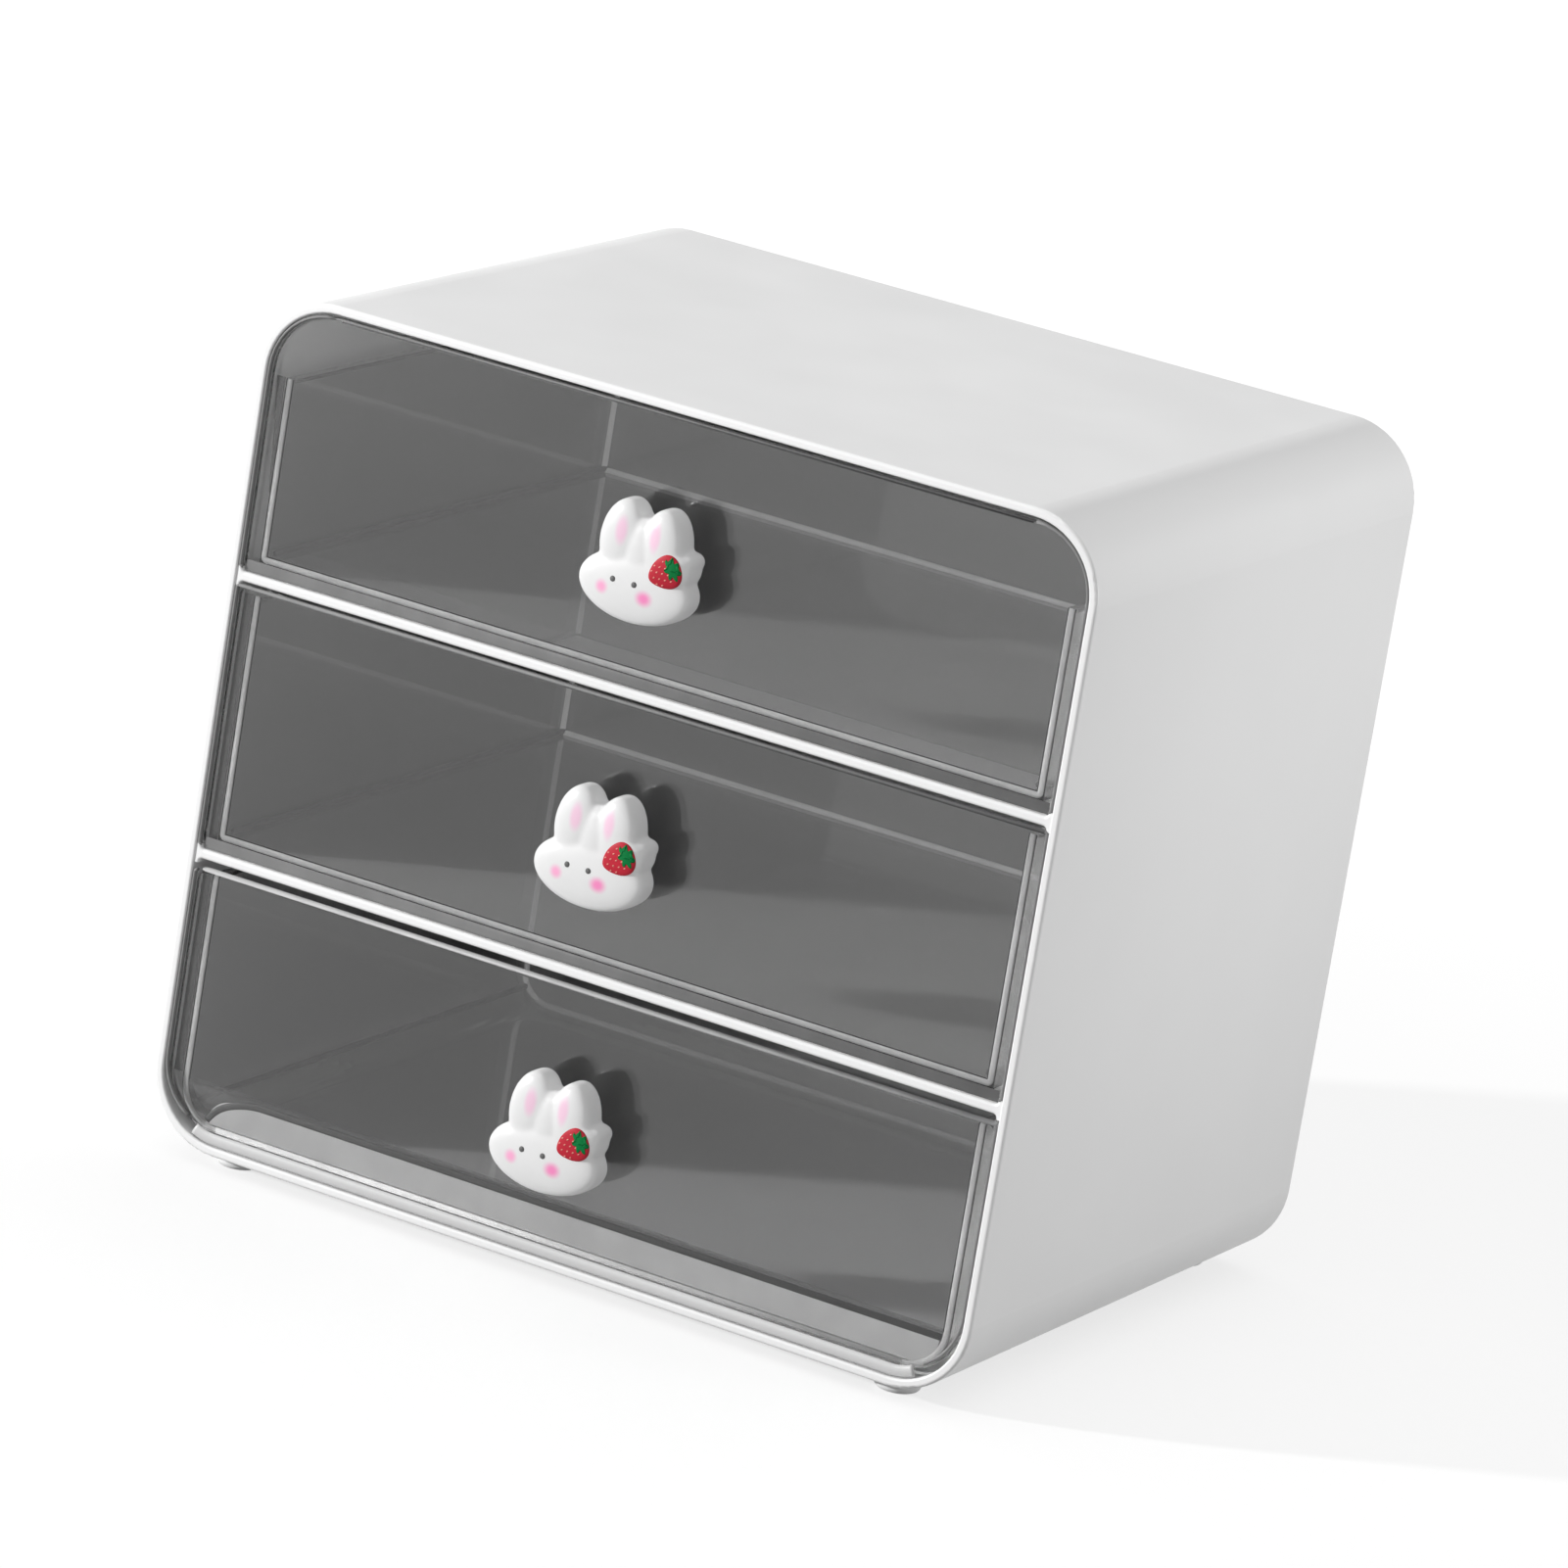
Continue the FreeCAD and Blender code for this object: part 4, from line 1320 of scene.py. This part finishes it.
    def leaves(self, surface: BVHTree) -> Object:
        """Returns the berry's leaves, laid over its broad end.

        Args:
            surface: the berry's surface.
        """
        mesh = bmesh.new()
        rim = self.leaf_points * self.leaf_steps
        bmesh.ops.create_circle(mesh, cap_ends=True, radius=1.0, segments=rim)
        for vert in mesh.verts:
            wave = abs(math.cos(math.atan2(vert.co.y, vert.co.x) * self.leaf_points / 2))
            vert.co *= self.leaf_share[0] + self.leaf_share[1] * wave**self.leaf_taper
        faces = list(mesh.faces)
        bmesh.ops.inset_individual(mesh, faces=faces, thickness=self.leaf_inset, depth=0.0)
        bmesh.ops.triangulate(mesh, faces=list(mesh.faces))
        edges, cuts = list(mesh.edges), self.leaf_cuts
        bmesh.ops.subdivide_edges(mesh, edges=edges, cuts=cuts, use_grid_fill=True)
        middle = self.berry_half[0] * self.leaf_along
        foot, bulge = self.leaf_lift
        for vert in mesh.verts:
            raised = (foot + bulge * max(0.0, 1.0 - vert.co.length**2)) * MM
            side, along = vert.co.x * self.leaf_size[0], vert.co.y * self.leaf_size[1]
            point, _ = self.on_face(surface, *self.on_berry(side, middle + along))
            place = max(point.y, self.front + self.leaf_front * MM)
            vert.co = Vector((point.x, place - raised, point.z))
        bmesh.ops.solidify(mesh, geom=list(mesh.faces), thickness=self.leaf_thick * MM)
        return finish_piece(self.layer.node("leaves"), mesh)

    def seeds(self, surface: BVHTree) -> Object:
        """Returns the berry's seeds, in staggered rows below its leaves.

        Args:
            surface: the berry's surface.
        """
        mesh = bmesh.new()
        for row in self.seed_rows:
            for step in self.seed_steps:
                along = row * self.seed_pitch[0]
                side = (step + 0.5 * (row % 2)) * self.seed_pitch[1]
                away = (along / self.seed_field[0]) ** 2 + (side / self.seed_field[1]) ** 2
                if away <= self.seed_share and along <= self.seed_top:
                    place = self.on_face(surface, *self.on_berry(side, along))
                    self.add_dot(mesh, place, self.seed_half, fine=2, turn=-self.berry_lean)
        return finish_piece(self.layer.node("seeds"), mesh)


# ---- organizer


@dataclass
class Organizer:
    """The whole object: case, drawers and knobs."""

    frame: dict
    groups: Groups = field(default_factory=Groups)
    finishes: dict[str, Material] = field(default_factory=dict)

    def build(self) -> None:
        """Makes the finishes, dresses the carried pieces and adds the modelled ones."""
        for finish in FINISHES:
            self.finishes[finish.name] = finish.material(self.groups)
        finish_of = {word: finish for finish, words in CARRIED.items() for word in words}
        for name, node in self.frame["nodes"].items():
            finish = "smoke_tray_deep" if name == "tray_bottom" else finish_of[name.split("_")[0]]
            dress(node, self.finishes[finish])
            LOG.info("dressed %s", name)
        for layer in Layer:
            self.add_lines(Drawer(layer))
            self.add_knob(Knob(layer))

    def add_lines(self, drawer: Drawer) -> None:
        """Adds one drawer's tray and the lines on its sheets, most of them painted highlight and
        painted shade.

        Args:
            drawer: the drawer.
        """
        layer, bottom = drawer.layer, drawer.rounded
        tray, edge = ("smoke_tray_deep", "painted_highlight_line") if bottom else ("smoke_tray", "faint_painted_edge")
        lines = [
            (drawer.bead, "bond_line_highlight"),
            (drawer.back_seam, "back_seam_highlight"),
            (drawer.panel_edge, edge),
            (drawer.wall_shade_lines, "painted_shade_line"),
            (drawer.shell, tray),
            (drawer.border_line, "rim_shade_line"),
            (drawer.side_shade, "painted_shade_line"),
        ]
        if bottom:
            lines += [
                (drawer.bright_bead, "painted_highlight_line"),
                (drawer.lip_painted_light, "lip_painted_light"),
                (drawer.lip_line, "painted_shade_line"),
            ]
        else:
            lines.append((drawer.sill_line, "sill_line"))
        for make, finish in lines:
            replaces = "tray" if make == drawer.shell else None
            self.place(make(), layer, Slot.SMOKE, finish, replaces)
        if bottom:
            self.place(drawer.skirt(), layer, Slot.RESIN, "skirt_painted_light")

    def add_knob(self, knob: Knob) -> None:
        """Adds one knob's head, its face and its strawberry.

        Args:
            knob: the knob.
        """
        layer = knob.layer
        paint = PaintedResin(layer.node("rabbit_paint"), grey(0.62), middle=tuple(knob.middle))
        self.finishes[paint.name] = paint.material(self.groups)
        head = knob.head()
        face = surface_of(head)
        self.place(head, layer, Slot.RESIN, paint.name, replaces="knob")
        self.place(knob.eye_dots(face), layer, Slot.RESIN, "eye_grey")
        berry = knob.berry()
        fruit = surface_of(berry)
        self.place(berry, layer, Slot.BERRY, "berry_red", replaces="berry")
        self.place(knob.leaves(fruit), layer, Slot.BERRY, "leaf_green")
        self.place(knob.seeds(fruit), layer, Slot.BERRY, "seed_cream")

    def place(
        self, piece: Object, layer: Layer, slot: Slot, finish: str, replaces: str | None = None
    ) -> None:
        """Dresses a new piece and hands it to the frame.

        Args:
            piece: the piece.
            layer: the drawer that it rides on.
            slot: the record's slot that it belongs to, which is not used.
            finish: the name of its finish.
            replaces: the kind of node that it stands for, if any.
        """
        dress(piece, self.finishes[finish])
        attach(piece, layer.body)
        if replaces:
            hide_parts(layer.node(replaces))
        LOG.info("made %s with %d faces", piece.name, len(piece.data.polygons))


def main() -> None:
    """Builds the scene in order."""
    logging.basicConfig(level=logging.INFO, format="%(message)s")
    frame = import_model()
    Studio().build()
    Organizer(frame).build()


if __name__ == "__main__":
    main()
